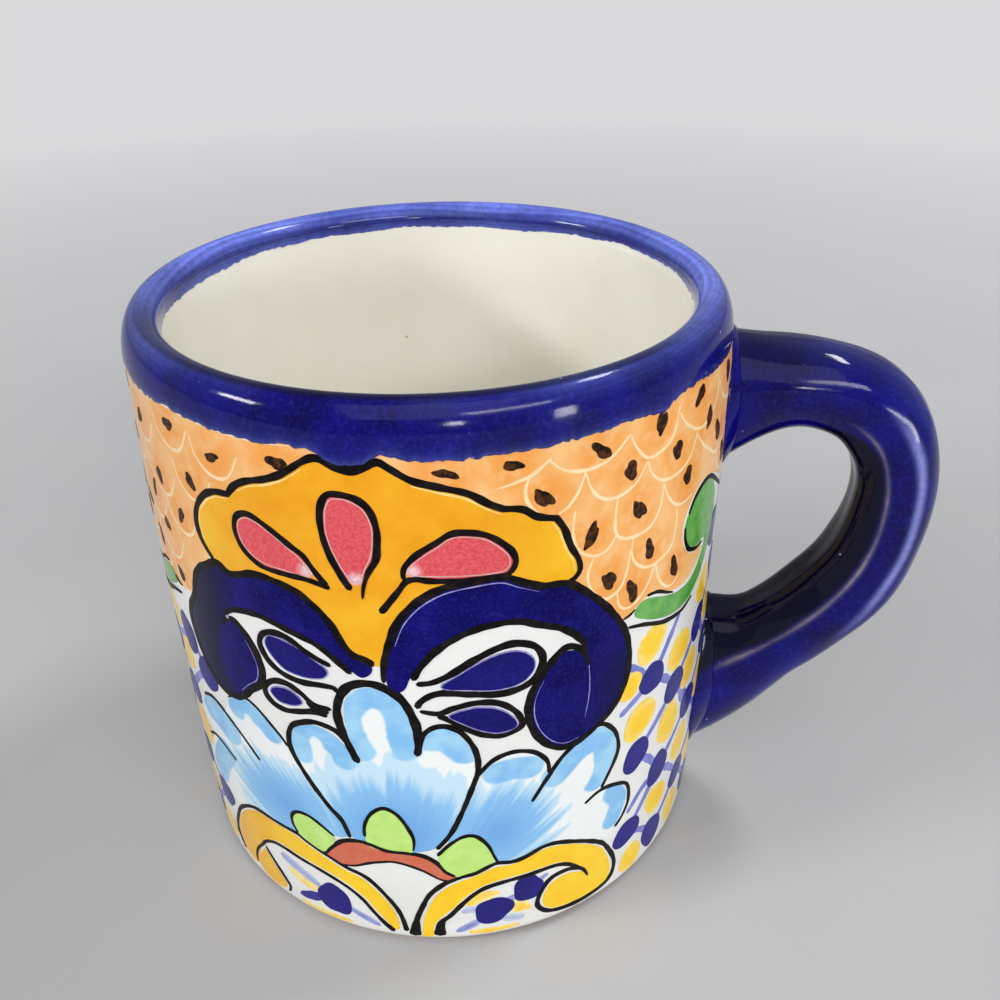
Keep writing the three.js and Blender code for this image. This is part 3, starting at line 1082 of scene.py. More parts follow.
def build_handle():
    """The loop with its cobalt coat, the marks that the brush and the glaze left on it, a painted
    highlight on its flank, and painted shade and a painted dark reflection on its inner face and upper
    root.
    """
    angles = np.arange(HANDLE_COLUMNS) * 2 * math.pi / HANDLE_COLUMNS
    shares = np.linspace(0, 1, HANDLE_ROWS)
    grid = np.array([handle_ring(share, angles) for share in shares])
    away = np.arccos(np.cos(angles)) / math.pi
    # The crease: partly glaze breaking on the edge, partly painted highlight
    crease = np.exp(-(((away - CREASE) / CREASE_WIDTH) ** 2))
    patchy = 0.65 + 0.35 * np.sin(31 * shares + 1) * np.sin(13 * shares)
    ridge = RIDGE_PALE * crease[None, :] * (patchy * between(shares, *RIDGE_SPAN))[:, None]
    crown = np.exp(-((away / CROWN_WIDTH) ** 2))
    thin = CROWN_PALE * crown[None, :] * (0.4 + 0.6 * np.sin(17 * shares + 2) ** 2)[:, None]
    # Painted highlight along the flank, pale and a little grey
    flank_highlight = np.exp(-(((away - HIGHLIGHT_PLACE) / HIGHLIGHT_WIDTH) ** 2))
    streak = flank_highlight[None, :] * between(shares, *HIGHLIGHT_SPAN)[:, None]
    thin = np.maximum(thin, HIGHLIGHT_PALE * streak)
    ridge = np.maximum(ridge, HIGHLIGHT_GREY * streak)
    # Thicker glaze and painted shade on the inner face, and pooled glaze with a painted dark reflection
    # on the upper root
    start = CREASE + ARCH_SHIFT * (1 - smooth(shares, *ARCH_SPAN))
    within = smooth(away[None, :] - start[:, None], 0, INNER_EDGE)
    pooled = (1 - smooth(shares, *POOL_AND_REFLECTION_SPAN))[:, None] * (1 - smooth(away, *POOL_AND_REFLECTION_PLACE))[None, :]
    deep = np.maximum(INNER_GLAZE_AND_SHADE * within, POOL_AND_REFLECTION_DARK * pooled)
    values = {"ridge": ridge, "thin": thin, "deep": deep}
    part = skin(grid, values, caps=(grid[0].mean(0), grid[-1].mean(0)))
    make_piece("cobalt_handle", [part], cobalt, ["handle", "handle_glaze"])


def share_at(x, upper):
    """Share of the handle's length at which its middle line is x millimetres from the axis."""
    shares = np.linspace(0, 0.3, 300) if upper else np.linspace(1, 0.7, 300)
    places = []
    for share in shares:
        if upper:
            places.append(bezier(UPPER_ARM, 2 * share)[0][0])
        else:
            places.append(bezier(LOWER_ARM, 2 * share - 1)[0][0])
    return float(np.interp(x, places, shares))


# Slip beads: unevenness round the root, how far they sink into the handle and into the wall
BEAD_COLUMNS = 96
BEAD_WAVES = [(0.08, 3, 0.5), (0.05, 5, 1.3)]
BEAD_RIPPLES = [(0.03, 11, 0)]
BEAD_BURIED = 0.5
BEAD_SUNK = 0.35


def build_bead(name, upper, top_fillet, side_fillet, roundness, node):
    """Slip pressed into the corner between the handle's root and the wall."""
    angles = np.arange(BEAD_COLUMNS) * 2 * math.pi / BEAD_COLUMNS
    size = top_fillet + (side_fillet - top_fillet) * np.sin(angles) ** 2
    size = size * (1 + ripple(angles, BEAD_WAVES)) * (1 + ripple(angles, BEAD_RIPPLES))
    rows = [(step, False) for step in np.linspace(0, 1, 12)]
    rows += [(1.0, True), (0.5, True), (-0.1, True)]
    grid = []
    for step, buried in rows:
        away = size * max(step, 0)
        share = share_at(float(BELLY_RADIUS + side_fillet * step), upper)
        growth = size * np.maximum(1 - max(step, 0) ** roundness, 0) ** (1 / roundness)
        if buried:
            growth = -BEAD_BURIED + 0 * size
        ring = handle_ring(share, angles)
        outward = handle_ring(share, angles, 1.0) - ring
        ring = ring + outward * growth[:, None]
        turn = np.arctan2(ring[:, 1], np.full(len(ring), BELLY_RADIUS))
        radius = wall_radius(ring[:, 2]) + unevenness(turn, ring[:, 2]) + away
        if step <= 0:
            radius = radius - BEAD_SUNK
        ring[:, 0] = np.sqrt(radius**2 - ring[:, 1] ** 2)
        grid.append(ring)
    grid = np.array(grid)
    if not upper:
        grid = grid[:, ::-1]
    away = np.arccos(np.cos(angles)) / math.pi
    # Thicker glaze and painted shade on the inner face, as on the handle
    inner = CREASE + (ARCH_SHIFT if upper else 0)
    deep = INNER_GLAZE_AND_SHADE * smooth(away, inner, inner + INNER_EDGE)
    if not upper:
        deep = deep[::-1]
    part = skin(grid, {"deep": np.tile(deep, (len(grid), 1))}, wrap_rows=True)
    make_piece(name, [part], cobalt, [node])


# The painted ornament of one face, drawn as (x, z)

FAN = [
    (-23.3, 69.3), (-25.4, 71.8), (-25.9, 74.5), (-25, 77.2), (-23, 79.5), (-20.8, 80.7),
    (-18.4, 81.1), (-18.4, 81.1), (-17, 82.7), (-15, 83.9), (-12, 84.9), (-9.5, 86.1), (-7, 87.9),
    (-5.4, 88.8), (-4.2, 88.8), (-2.5, 88), (-0.8, 87.8), (0.9, 88.2), (2.6, 88.9), (4, 88.1),
    (6.5, 86.5), (10, 85.4), (13, 84.4),
    (15.5, 82.7), (17.2, 81.8), (17.2, 81.8), (19.6, 81.3), (21.5, 79.9), (24, 79.1), (24, 79.1),
    (25.1, 77.2), (26, 74.5), (27.1, 72.3), (27.4, 70.6), (26.7, 69.5), (25.4, 69),
]
FAN_FOOT = [
    (18, 70.5), (8, 69), (2.5, 63), (0.6, 58.8), (-2.5, 60.5), (-6, 65.5), (-12, 69.3), (-19, 68.6),
]

PETAL_LEFT = [
    (-4.7, 70.6), (-8, 71.4), (-11, 71.5), (-14.5, 71.8), (-17, 73.5), (-18, 75.8), (-17.6, 78),
    (-16, 79.1), (-14.3, 78.9), (-12, 77.7), (-9.5, 76), (-8, 75), (-7, 73.5), (-6, 72), (-5, 70.9),
]
PETAL_CENTRE = [
    (-2, 70.7), (-3.2, 73), (-4.4, 76), (-5, 79), (-4.9, 82), (-4, 84), (-2.5, 84.4), (-0.3, 83.9),
    (1.2, 82.5), (1.9, 80), (1.8, 77.5), (1.5, 75.5), (0.4, 73.5), (-0.3, 71.5), (-0.6, 69.5),
]
PETAL_RIGHT = [
    (1.5, 67.5), (4, 71), (5, 72.4), (6.3, 72.8), (8, 72.5), (12, 72.3), (16, 72.3), (17.8, 72.6),
    (18.6, 74), (18.2, 75.6), (16.8, 77.2), (15, 78.5), (12.8, 79.1), (10.8, 79.1), (9, 78),
    (6.5, 76.3), (5, 74.6), (4.7, 73.2), (5, 72.6),
]
PETAL_FILLS = [
    [(-7.6, 72.2), (-11, 72.3), (-14.3, 72.7), (-16.4, 74), (-17.2, 75.9), (-16.9, 77.6), (-15.8, 78.3),
     (-14.4, 78.1), (-12.3, 77), (-9.9, 75.3), (-8.3, 73.9)],
    [(-1.6, 72.2), (-2.7, 74), (-3.7, 76.5), (-4.2, 79), (-4.1, 81.6), (-3.5, 83.2), (-2.4, 83.6),
     (-0.6, 83.1), (0.5, 82), (1.1, 80), (1, 77.7), (0.6, 75.8), (-0.3, 73.9), (-0.9, 72.4)],
    [(5.9, 73.6), (8.2, 73.4), (12, 73.2), (16, 73.1), (17.3, 73.4), (17.7, 74.2), (17.4, 75.2),
     (16.2, 76.6), (14.6, 77.8), (12.7, 78.3), (10.9, 78.3), (9.4, 77.3), (7.1, 75.7), (5.8, 74.4)],
]

PETAL_TIPS = [(-7.7, 72.7), (-1.2, 72.3), (5.8, 73.9)]

SCROLL_RIGHT_OUTER = [
    (1.1, 56), (1.3, 59), (2.2, 62.6), (3.6, 66.2), (6, 69.2), (9.2, 71.2), (13, 72), (16.8, 72.1),
    (19.3, 70.9), (22, 69.6), (25.4, 69), (28, 67), (31, 63.8), (33.6, 60.2), (35.3, 57), (36.2, 53.5),
    (36.3, 50), (35.6, 46.8), (33.8, 44), (31, 41.9), (28, 40.4), (25.6, 40.2), (23.2, 41.6),
    (21.2, 44.5), (20.2, 48), (20.4, 51.3), (21.6, 54.2), (23.3, 56.5), (25.3, 58.4),
]
SCROLL_RIGHT_INNER = [
    (28.3, 58.2), (26.9, 60.2), (24.8, 62), (22, 63.4), (19, 64.8), (16, 65), (13, 64.5),
    (10.3, 63.2), (8, 61.4), (6.2, 59.2), (4.9, 56.7),
]
SCROLL_RIGHT_NOTCH = [(27.2, 57.9), (28.6, 56), (29.1, 54)]
SCROLL_RIGHT_DIVIDER = [(29.1, 54.6), (29.4, 51), (29.3, 48), (28.8, 44.6)]
SCROLL_RIGHT_TAIL = [(4.2, 55), (3, 54.1), (1.8, 54.7)]

SCROLL_LEFT_OUTER = [
    (0, 58.8), (-1.2, 59.7), (-2.6, 60.2), (-3.9, 61.8), (-5.3, 64.8), (-7.3, 67.3), (-9.8, 69.1),
    (-12.8, 69.9), (-15.8, 70), (-18, 69.2), (-20.4, 68.4), (-22.8, 69.1), (-25, 68), (-27.2, 66.5),
    (-29, 64.3), (-30, 62), (-30.8, 59.8), (-32.6, 57.3), (-33.4, 54.8), (-33, 52), (-31.9, 49),
    (-30.2, 46.6), (-28.4, 45.1), (-26.3, 44.5), (-24, 45), (-21.8, 46.6), (-20, 48.6), (-18.2, 50.3),
    (-17.4, 52.8), (-17.8, 55.5), (-19, 58), (-20.5, 59.7), (-21.7, 60.3),
]
SCROLL_LEFT_INNER = [
    (-22.9, 60.7), (-22, 61.6), (-20, 62.6), (-16.5, 63.2), (-13, 62.6), (-10, 61.8), (-7.6, 60.9),
    (-5.2, 59), (-3.2, 57),
]
SCROLL_LEFT_TAIL = [(-2, 56.2), (-0.8, 56.6), (0, 57.6)]
SCROLL_LEFT_NOTCH = [(-23, 59.7), (-24, 58.5)]
SCROLL_LEFT_LOBE = [
    (-23.2, 59.8), (-24.5, 57.5), (-25.8, 54.5), (-26.2, 51), (-25.3, 47.6), (-23, 45), (-19, 45),
    (-17, 50), (-18.5, 55), (-21, 59),
]

# Each drop: its outline, its fill and the width of its line
DROPS = [
    ([(5.3, 56), (7.5, 56.3), (10, 57.6), (13, 59.6), (16, 61), (18.5, 61.3), (21, 60.2), (22.2, 58),
      (21.7, 55.6), (19.8, 53.8), (16.5, 53.2), (12.5, 53.8), (9.5, 54.4), (7.3, 54.1), (5.7, 52.9),
      (5.2, 51.8)],
     [(8.6, 55.8), (11, 57.5), (14, 59.3), (17, 60.2), (19.5, 59.7), (21, 58), (20.8, 56), (19, 54.4),
      (16, 54), (12, 54.6), (9.3, 55)], 1.25),
    ([(5.5, 51.3), (8, 50.8), (10, 51.6), (13, 52.2), (16, 51.6), (18.3, 49.6), (19.3, 47.3),
      (18.8, 46.4), (16.5, 45.6), (14, 46.2), (11.5, 47.8), (9, 49.8), (7.8, 50.3)],
     [(9.3, 50.2), (11, 51.1), (13.5, 51.4), (16, 50.6), (18, 48.7), (18.6, 47), (17.5, 46.3),
      (15.5, 46.3), (13, 47.4), (11, 48.8)], 1.1),
    ([(-6, 57.7), (-9, 59), (-12, 60.8), (-14.3, 61), (-16.3, 60), (-17, 58), (-16, 55.7), (-14, 54.2),
      (-11, 53.6), (-8, 53.9), (-6, 53.9), (-5.6, 53.2)],
     [(-6.6, 56.3), (-7.6, 55.2), (-10, 54.7), (-13, 55), (-15, 56.6), (-16, 58.5), (-15.3, 60.2),
      (-13.7, 60.4), (-11, 59.8), (-8.5, 58.3), (-7, 57.3)], 1.1),
    ([(-6.8, 49.8), (-9.5, 50), (-11.2, 51.4), (-13.3, 52.4), (-15.5, 52.1), (-17.2, 50.7), (-17.5, 49),
      (-16.3, 47.6), (-14.3, 47.2), (-12, 47.8), (-9.5, 48.6), (-7.5, 48.4)],
     [(-11.2, 49.9), (-12.5, 51.2), (-14, 51.5), (-15.8, 50.9), (-16.5, 49.8), (-15.3, 48.6),
      (-13.5, 48.5), (-12, 49)], 1.1),
]

# Sky flower: lines with their widths, three filled groups and the brush marks in them
FLOWER_LINES = [
    ([(-6.6, 24), (-7.6, 27.5), (-9.5, 30), (-12.5, 35), (-14.6, 40), (-14, 44), (-11.5, 46),
    (-9, 46.6),
      (-6, 45.5), (-4.2, 42), (-3.7, 40.5)], 1.0),
    ([(-3.8, 40.6), (-5.8, 47), (-5.8, 51), (-4, 54.5), (-0.5, 55.6), (3, 53.5), (4.8, 49), (5, 45),
      (4.7, 43)], 1.45),
    ([(4.8, 43), (5.8, 47), (8, 48.5), (10.5, 47.5), (12.5, 44), (13, 40), (12, 36), (10, 30),
    (8.5, 26.5),
      (6.5, 23.5)], 0.95),
    ([(12.5, 38), (15, 41), (18, 42), (21, 41), (23, 38.5), (23.3, 36)], 0.85),
    ([(20.7, 31), (23, 35), (26, 39), (31, 41.8), (34, 39.5), (35.3, 36), (35, 33), (32.5, 28)], 0.85),
    ([(29.5, 26.3), (32, 27.5), (35, 27), (38, 25), (38.7, 21), (37.5, 18), (36, 16.5)], 0.8),
    ([(-26.5, 43.5), (-23, 45.6), (-20, 45), (-16.3, 41.5), (-15.2, 39.8)], 0.45),
    ([(-35, 38.5), (-32, 40), (-29, 39.5), (-25, 37), (-21.5, 33.5)], 0.6),
    ([(-36.5, 29), (-34, 30.5), (-31.5, 30.5), (-28, 29.2)], 0.55),
]
FLOWER_FILLS = [
    [(-6, 24), (-7.6, 27.5), (-9.5, 30), (-12, 34), (-14, 38.5), (-14.2, 41.5), (-13.2, 44.3),
     (-11, 45.7),
     (-8.8, 45.8), (-6.8, 44.8), (-5, 42.6), (-4.3, 41), (-4.8, 45), (-5, 50), (-4, 53.3), (-2, 54.9),
     (0, 54.9), (2.3, 53.6), (4, 50.8), (4.6, 47), (4.7, 43.5), (5.5, 46.5), (6.8, 47.9), (8.5, 48),
     (10.3, 46.9), (12, 44), (12.5, 41), (12.2, 37.5), (10.8, 33), (9.3, 29), (8, 26), (6, 23.5),
     (3, 22.6),
     (0, 22.5), (-3, 23)],
    [(9, 27), (10.5, 31), (12.2, 36), (13.5, 38.5), (15, 40.7), (18, 41.6), (20.7, 40.9), (22.6, 38.8),
     (23.2, 36.3), (24.8, 38), (27, 39.8), (30.8, 41.4), (33.5, 39.6), (35.2, 36), (34.8, 32.5),
     (32.3, 28), (33, 27.6), (35.5, 26.8), (37.9, 24.7), (38.5, 21), (37.4, 18), (35, 15.8), (33, 15.5),
     (31, 16.9), (28, 18.7), (25, 20), (22.5, 20.2), (19.5, 19.1), (17, 18.8), (15, 19.3), (13.5, 23),
     (12, 25.8), (10.2, 26.2), (8.3, 24.9)],
    [(-6.8, 24.5), (-8, 27.5), (-10, 30.2), (-12.5, 34.5), (-14.6, 38.5), (-16.3, 41.5), (-19.5, 44.6),
     (-22, 45.6), (-24.5, 44.7), (-26.5, 43.4), (-27.5, 41), (-28.5, 39.5), (-31, 40), (-34, 39),
     (-36, 36.5), (-36.5, 33), (-34.5, 30.3), (-37, 27), (-38, 23), (-36.5, 19.5), (-33, 18),
     (-29.5, 18), (-26.5, 20), (-22, 20.5), (-16.8, 20.5), (-17, 23), (-16, 25.5), (-13.5, 26.2),
     (-11.3, 25), (-9, 23.4)],
]
# Sky-blue brush marks near the petal tips as line and half width, and white tongues left in them
CAP_MARKS = [
    ([(-3.3, 43.5), (-3.4, 49), (-1, 52.5), (2, 51), (3, 46.5), (3, 44.4)], 2.5),
    ([(-12.7, 39.5), (-12.4, 42.8), (-9.5, 44.3), (-6.6, 42.3), (-5.8, 40.5)], 1.9),
    ([(6.6, 46.2), (9, 45.8), (11.2, 43.4)], 2.3),
    ([(15.6, 38.4), (18, 38.7), (20.4, 38.2)], 2.15),
    ([(24.3, 35), (28, 38.4), (31.5, 38.8), (33, 35.5), (31.3, 30.5)], 2.3),
    ([(34.8, 25.4), (36.3, 22.5), (35.2, 18.8)], 1.9),
    ([(-25, 42), (-22.5, 43.5), (-19.5, 42.5), (-17.8, 41)], 1.9),
    ([(-33.5, 37.2), (-31, 37), (-28.6, 36)], 3.3),
    ([(-31, 29), (-33.5, 25.5), (-35.5, 21.5)], 2.5),
]
TONGUES = [
    [(-0.9, 51.3), (-2.2, 49.8), (-2.5, 48.3), (-2, 46), (-1, 43.5), (0.3, 40.8), (0.9, 41.2),
     (1.2, 43.5),
     (0.8, 46), (0.7, 48.5), (0.3, 50.6)],
    [(-10.9, 43), (-10.3, 43.6), (-9.3, 43.2), (-8.6, 41), (-7.6, 38.5), (-7.9, 37), (-9.3, 37.5),
     (-10.3, 39.5), (-10.9, 41.5)],
    [(30.6, 35.2), (29.6, 35.4), (28.2, 33.2), (25.6, 29.6), (27.6, 28.4), (29.8, 30.6), (30.8, 33.2)],
    [(-23, 42.2), (-21.9, 42), (-20.5, 39.6), (-18.9, 37.4), (-20.4, 36.6), (-22.4, 38.6),
     (-23.2, 40.6)],
]
# Deeper blue at the root of each group: centre, reach, and how far the pale feathers go beyond it
BASE_MARKS = [
    ((0.5, 26), (11, 11.5), 4.6),
    ((-17.5, 26.5), (9.5, 7.5), 2.4),
    ((15.5, 26), (8, 8.6), 2.2),
]
# Where the streaks of each group come from
SPOKE_ROOTS = [(0, 6), (4, 10), (-3, 10)]

GREEN_DABS = [
    ([(-16, 20.8), (-16.8, 22.5), (-16.7, 24.5), (-15.5, 25.8), (-13.5, 26), (-11.5, 25), (-9.3, 23.3)],
     [(-15.8, 21), (-16.3, 23.5), (-15.3, 25.3), (-13.3, 25.6), (-11.3, 24.6), (-9.8, 23), (-10, 21.5),
      (-11.5, 19.3), (-13.5, 19.2)]),
    ([(-4.2, 25), (-4, 27.5), (-3, 30), (-1.5, 31.6), (-0.2, 31.8), (1.3, 30.5), (2.5, 28), (3.2, 25.5),
      (3, 23)],
     [(-3.7, 24), (-3.6, 27), (-2.5, 30), (-0.8, 31.3), (0.8, 30.3), (2, 28), (2.8, 25), (2.6, 23),
      (0, 22.6), (-3, 23)]),
    ([(6.5, 22), (8.5, 24.5), (10.5, 26), (12.3, 25.8), (14, 23.5), (15, 20.5), (15.5, 19.3)],
     [(7, 21.7), (9, 24.4), (10.8, 25.4), (12.3, 24.9), (13.7, 22.5), (14.6, 19.5), (12, 17.6),
      (9.5, 17.2), (8, 18.5)]),
]

STRIP_TOP = [
    (-11.5, 18.2), (-10, 20.5), (-8, 22.7), (-5.5, 23.6), (-3.5, 23.4), (-1, 22.5), (2, 22.4),
    (4.5, 21.8),
    (6.3, 20.3), (7.5, 18.3), (9, 17),
]
STRIP_BOTTOM = [
    (-9, 17), (-6.5, 17.6), (-4, 19), (-1.5, 19.9), (0, 20.1), (2, 19.6), (4.3, 18.4), (6.5, 16.6),
    (8, 15.9),
]

# Yellow scrolls at the foot: black lines with widths, and fills
FOOT_LINES = [
    ([(2, 2), (2.5, 6), (3.6, 9.5), (5, 12.8), (7.5, 15.5), (10, 16.8), (12, 17.4), (15, 19),
      (17.5, 18.7), (19.5, 19), (22.5, 20.2), (25, 20), (28, 18.6), (31, 16.7), (33.5, 14.5), (35, 12),
      (36.3, 9), (36.7, 6.5), (36, 4.2), (34, 3.2), (30, 2.7), (26, 3), (23.5, 3.9), (22, 5.8), (22, 8),
      (23, 10.5), (24.3, 12), (26.5, 12.4), (28.5, 11.8), (30, 10.5), (31, 8.3)], 0.95, (2.2, 0.6)),
    ([(6, 2.2), (6.4, 5.5), (8, 7.5), (10, 10.3), (12, 12.5), (14, 13.7), (17, 14.3), (20, 14.5),
      (24, 14.7), (26.5, 14), (28.5, 12.3), (30.3, 10)], 0.9, (2.2, 0.6)),
    ([(0.7, 3), (0, 7), (-1.2, 10), (-3.5, 13.7), (-5.5, 15.6), (-8, 16.5), (-10.5, 17.8), (-13, 18.8),
      (-15, 19.7), (-16.5, 20.4), (-20, 20.5), (-24, 20.5), (-26.5, 19.8), (-29, 18), (-31, 15.8),
      (-32.5, 13), (-33.8, 10), (-34.2, 7), (-33, 4)], 0.8, (1.3, 0.7)),
    ([(-1.3, 2.6), (-3, 4.5), (-4.6, 7), (-6, 9.3), (-8, 11.3), (-10.5, 12.7), (-13.5, 13.7),
    (-17, 14.3),
      (-20, 14.7), (-22.5, 14.3), (-24.5, 13), (-26, 11), (-27.8, 8.5), (-28.7, 6), (-28.8, 4.5)], 0.68,
     (1.5, 0.7)),
    ([(-25, 11.4), (-23.3, 9), (-21.5, 6.5), (-20.5, 4.7), (-21, 3)], 0.68, (0.7, 0.8)),
]
FOOT_FILLS = [
    [(3.2, 1.7), (3.2, 1.7), (3.6, 6), (4.6, 9.5), (6, 12.5), (8.5, 15), (12, 16.6), (15, 18),
     (18, 18), (22.5, 19.4), (25, 19.2), (28, 17.9), (31, 15.8), (33.4, 13.4), (35, 10),
     (35.8, 6.5), (35, 4), (31, 3.3),
     (26, 3.6), (23.8, 4.5), (22.8, 6.3), (23, 8.5), (24, 10.3), (26, 11.3), (28, 11), (29.8, 10),
     (29.8, 10), (28.8, 12.3), (26.5, 14.5), (24, 15.3), (20, 15.2), (16, 14.9), (13, 14), (10.5, 12),
     (8.5, 9.3), (6.5, 7), (5.3, 5), (5, 1.7), (5, 1.7)],
    [(-0.4, 3.5), (-0.8, 7), (-2, 10), (-4, 13), (-6, 14.9), (-8.5, 15.8), (-11, 17), (-14, 18.4),
     (-17, 19.6), (-20, 19.8), (-24, 19.8), (-26.2, 19.1), (-28.5, 17.4), (-30.5, 15.3), (-32, 12.6),
     (-33.1, 9.8), (-33.5, 7), (-32.5, 4.2), (-30, 3.4), (-28.2, 4.6), (-28, 6.5), (-27.1, 8.8),
     (-25.4, 11.4), (-23.9, 13.6), (-22, 15), (-20, 15.4), (-17, 15), (-13.5, 14.4), (-10.2, 13.4),
     (-7.6, 11.9), (-5.4, 9.7), (-4, 7.4), (-2.5, 5), (-1.2, 3.2)],
    [(-25.3, 10.4), (-23.9, 8.4), (-22.2, 6), (-21.3, 4.4), (-22.5, 2.8), (-26, 2.6), (-28, 3.6),
     (-28, 6), (-26.8, 8.5)],
]

LEAF = [
    (47.8, 69), (49, 71), (51, 72.4), (53.5, 72.9), (56, 72), (58, 70), (59.5, 67), (59.7, 63.5),
    (58.5, 60), (56, 57), (53, 55), (50, 54), (46, 54.3), (42, 55.7), (39, 57.3), (37, 58.8),
    (37.5, 60.3), (39, 60.6),
    (41, 60), (44, 58.6), (47, 57.6), (50.5, 57.3), (53.8, 58.8), (55.8, 61.4), (54.6, 62.6),
    (51.4, 62.9),
    (48.8, 64.8), (47.7, 67),
]
LEAF_LINES = [
    ([(48.3, 69.8), (50, 71.8), (53, 72.9), (56, 72.3), (60, 69.5), (64, 66.5)], 0.8),
    ([(47.6, 68.2), (47.9, 66), (49.3, 63.7), (52, 62.3), (54.4, 62.1)], 0.8),
    ([(39.2, 61.2), (41.5, 60.7), (44, 59.2), (45.5, 58.4)], 0.7),
    ([(35.8, 57.4), (39, 56.3), (43, 54.4), (46, 53.5), (49, 53.1), (52, 53.7)], 0.8),
    ([(34.7, 59.3), (36, 59.5), (37, 60)], 0.5),
]

GROUND_RIGHT = [
    (0, 90.2), (0, 90.2), (4, 86), (14, 80), (22, 74), (25, 68.5), (28.5, 64), (32, 60), (34.8, 59.4),
    (37, 60.2), (39.5, 61), (43, 59.8), (46.5, 58.4), (50, 58.2), (53, 59.4), (54.4, 61), (53.4, 61.9),
    (50.4, 62.3), (47.8, 64.8), (46.9, 68.2), (48, 70.8), (50.5, 73), (54, 73.4), (58, 71.8),
    (62, 69.6), (66, 69), (70.8, 69),
    (70.8, 69), (70.8, 90.2), (70.8, 90.2),
]

# Dark dashes in the scales: x, z and lean in degrees
SEEDS = [
    (10.5, 87.2, -15), (18.5, 87.4, -20), (30.3, 86.7, -30), (40.4, 87.2, 70), (49.5, 87.7, 60),
    (61.3, 86.6, 65), (22.3, 82.3, -55), (35.1, 82.4, -60), (44.2, 81.9, -70), (29, 75, 60),
    (36.8, 76.1, -65), (47.2, 76.8, -70), (57, 79.3, -60), (32, 67, -65), (39.2, 68.9, -70),
    (36.2, 63.5, -70), (45.2, 63, -65), (53, 83, 65), (61, 74, -65), (66.5, 81, 70), (67, 73.5, 65),
    (-10, 87.5, 10), (-20.3, 85.7, 5), (-29, 87.5, 30), (-39.5, 84.7, 40), (-25.7, 80.4, -45),
    (-35, 77.6, -60), (-30, 73.5, 80), (-38.7, 74, 70), (-35.8, 69.5, -75), (-34, 61.8, -65),
    (-47, 87.2, 60), (-55, 83.5, 60), (-46.5, 79.2, -65), (-63.5, 86.8, 60), (-64, 79, 65),
    (-54.5, 77, -60), (-43.5, 70, -65), (-40.5, 65, -65), (-67.5, 73, 65), (-60.5, 74.4, 60),
]

# Pale scale lines on the right, and the places of plain scallops on the left
SCALE_LINES = [
    [(16.5, 84.6), (18.5, 85), (21, 85.8), (23.3, 87.5)],
    [(23, 87.3), (25, 85.5), (28, 84.7), (31.5, 85.2), (34.7, 87.6)],
    [(20.8, 86), (20, 84), (20.3, 82), (21.8, 80.2)],
    [(28, 84.5), (27, 82), (25.5, 80.2), (24.2, 79.6)],
    [(28, 84.4), (28.8, 82), (30.5, 80), (33, 79.4), (36, 80.3), (38, 82.8)],
    [(34.7, 87.6), (36, 85.2), (38, 83.2), (40.5, 83.2), (43, 84.5), (44.2, 88.3)],
    [(38, 82.8), (39, 80.5), (41, 78.8), (43, 78.3), (46, 78.6), (48, 80), (49.3, 82.5)],
    [(44.2, 87.3), (46, 85), (49, 83), (52, 82.6), (55, 84), (56.5, 87)],
    [(33, 79.3), (32.7, 76), (33, 73.8), (34.5, 72.6), (37, 72.2), (39.5, 72.8), (41, 75),
     (41.5, 78.2)],
    [(26.6, 79.5), (26.3, 76), (27.3, 73.3), (29.5, 71.8), (31.5, 72), (33, 73.8)],
    [(41.5, 78), (42.5, 75.8), (44.5, 73.5), (47, 72.8), (49, 73.2)],
    [(49.3, 82), (51.5, 79.5), (54, 77.6), (57, 75.8), (60.5, 77), (62.5, 81)],
    [(36, 72), (35.8, 70), (36.5, 68), (38.5, 66.3), (41, 66), (44, 67), (45, 70), (44.8, 72.8)],
    [(29.5, 71.5), (28.6, 69), (29.5, 66), (31.5, 64.2), (33.8, 64.8), (35, 67), (35.6, 70.5)],
    [(33.5, 64.4), (34, 62), (35.6, 60.9), (37.6, 61.6), (39.4, 63.4), (40.6, 66)],
    [(40.7, 66), (41.5, 63), (43.2, 60.8), (45, 60), (47, 61)],
    [(56.6, 87), (58.5, 84), (61.3, 82.6), (64.5, 84), (66.5, 87)],
    [(62.5, 81), (63.5, 78.6), (66.5, 77.2), (69.5, 78.6), (70.6, 81)],
    [(57.5, 75.6), (58.5, 72.8), (61, 71), (64, 72), (65, 75)],
]
SCALLOPS_LEFT = [
    (-29, 87, 4.3), (-38.8, 84.6, 4.6), (-47.5, 87, 4.2), (-20, 86, 4.2), (-25.4, 80.8, 4),
    (-34.3, 78.2, 4.4), (-43.5, 80, 4.6), (-29.8, 73.8, 4), (-38.6, 72.6, 4.3), (-35, 67.6, 4),
    (-32.4, 62.8, 3.6),
    (-55, 84, 4.6), (-63.6, 87, 4.4), (-51.5, 78.2, 4.4), (-60.2, 79.6, 4.4), (-46.5, 74.6, 4.2),
    (-43.4, 68, 4.2), (-66.4, 74, 4.2), (-69.5, 80.6, 4.2), (-40.2, 63.2, 3.6),
]

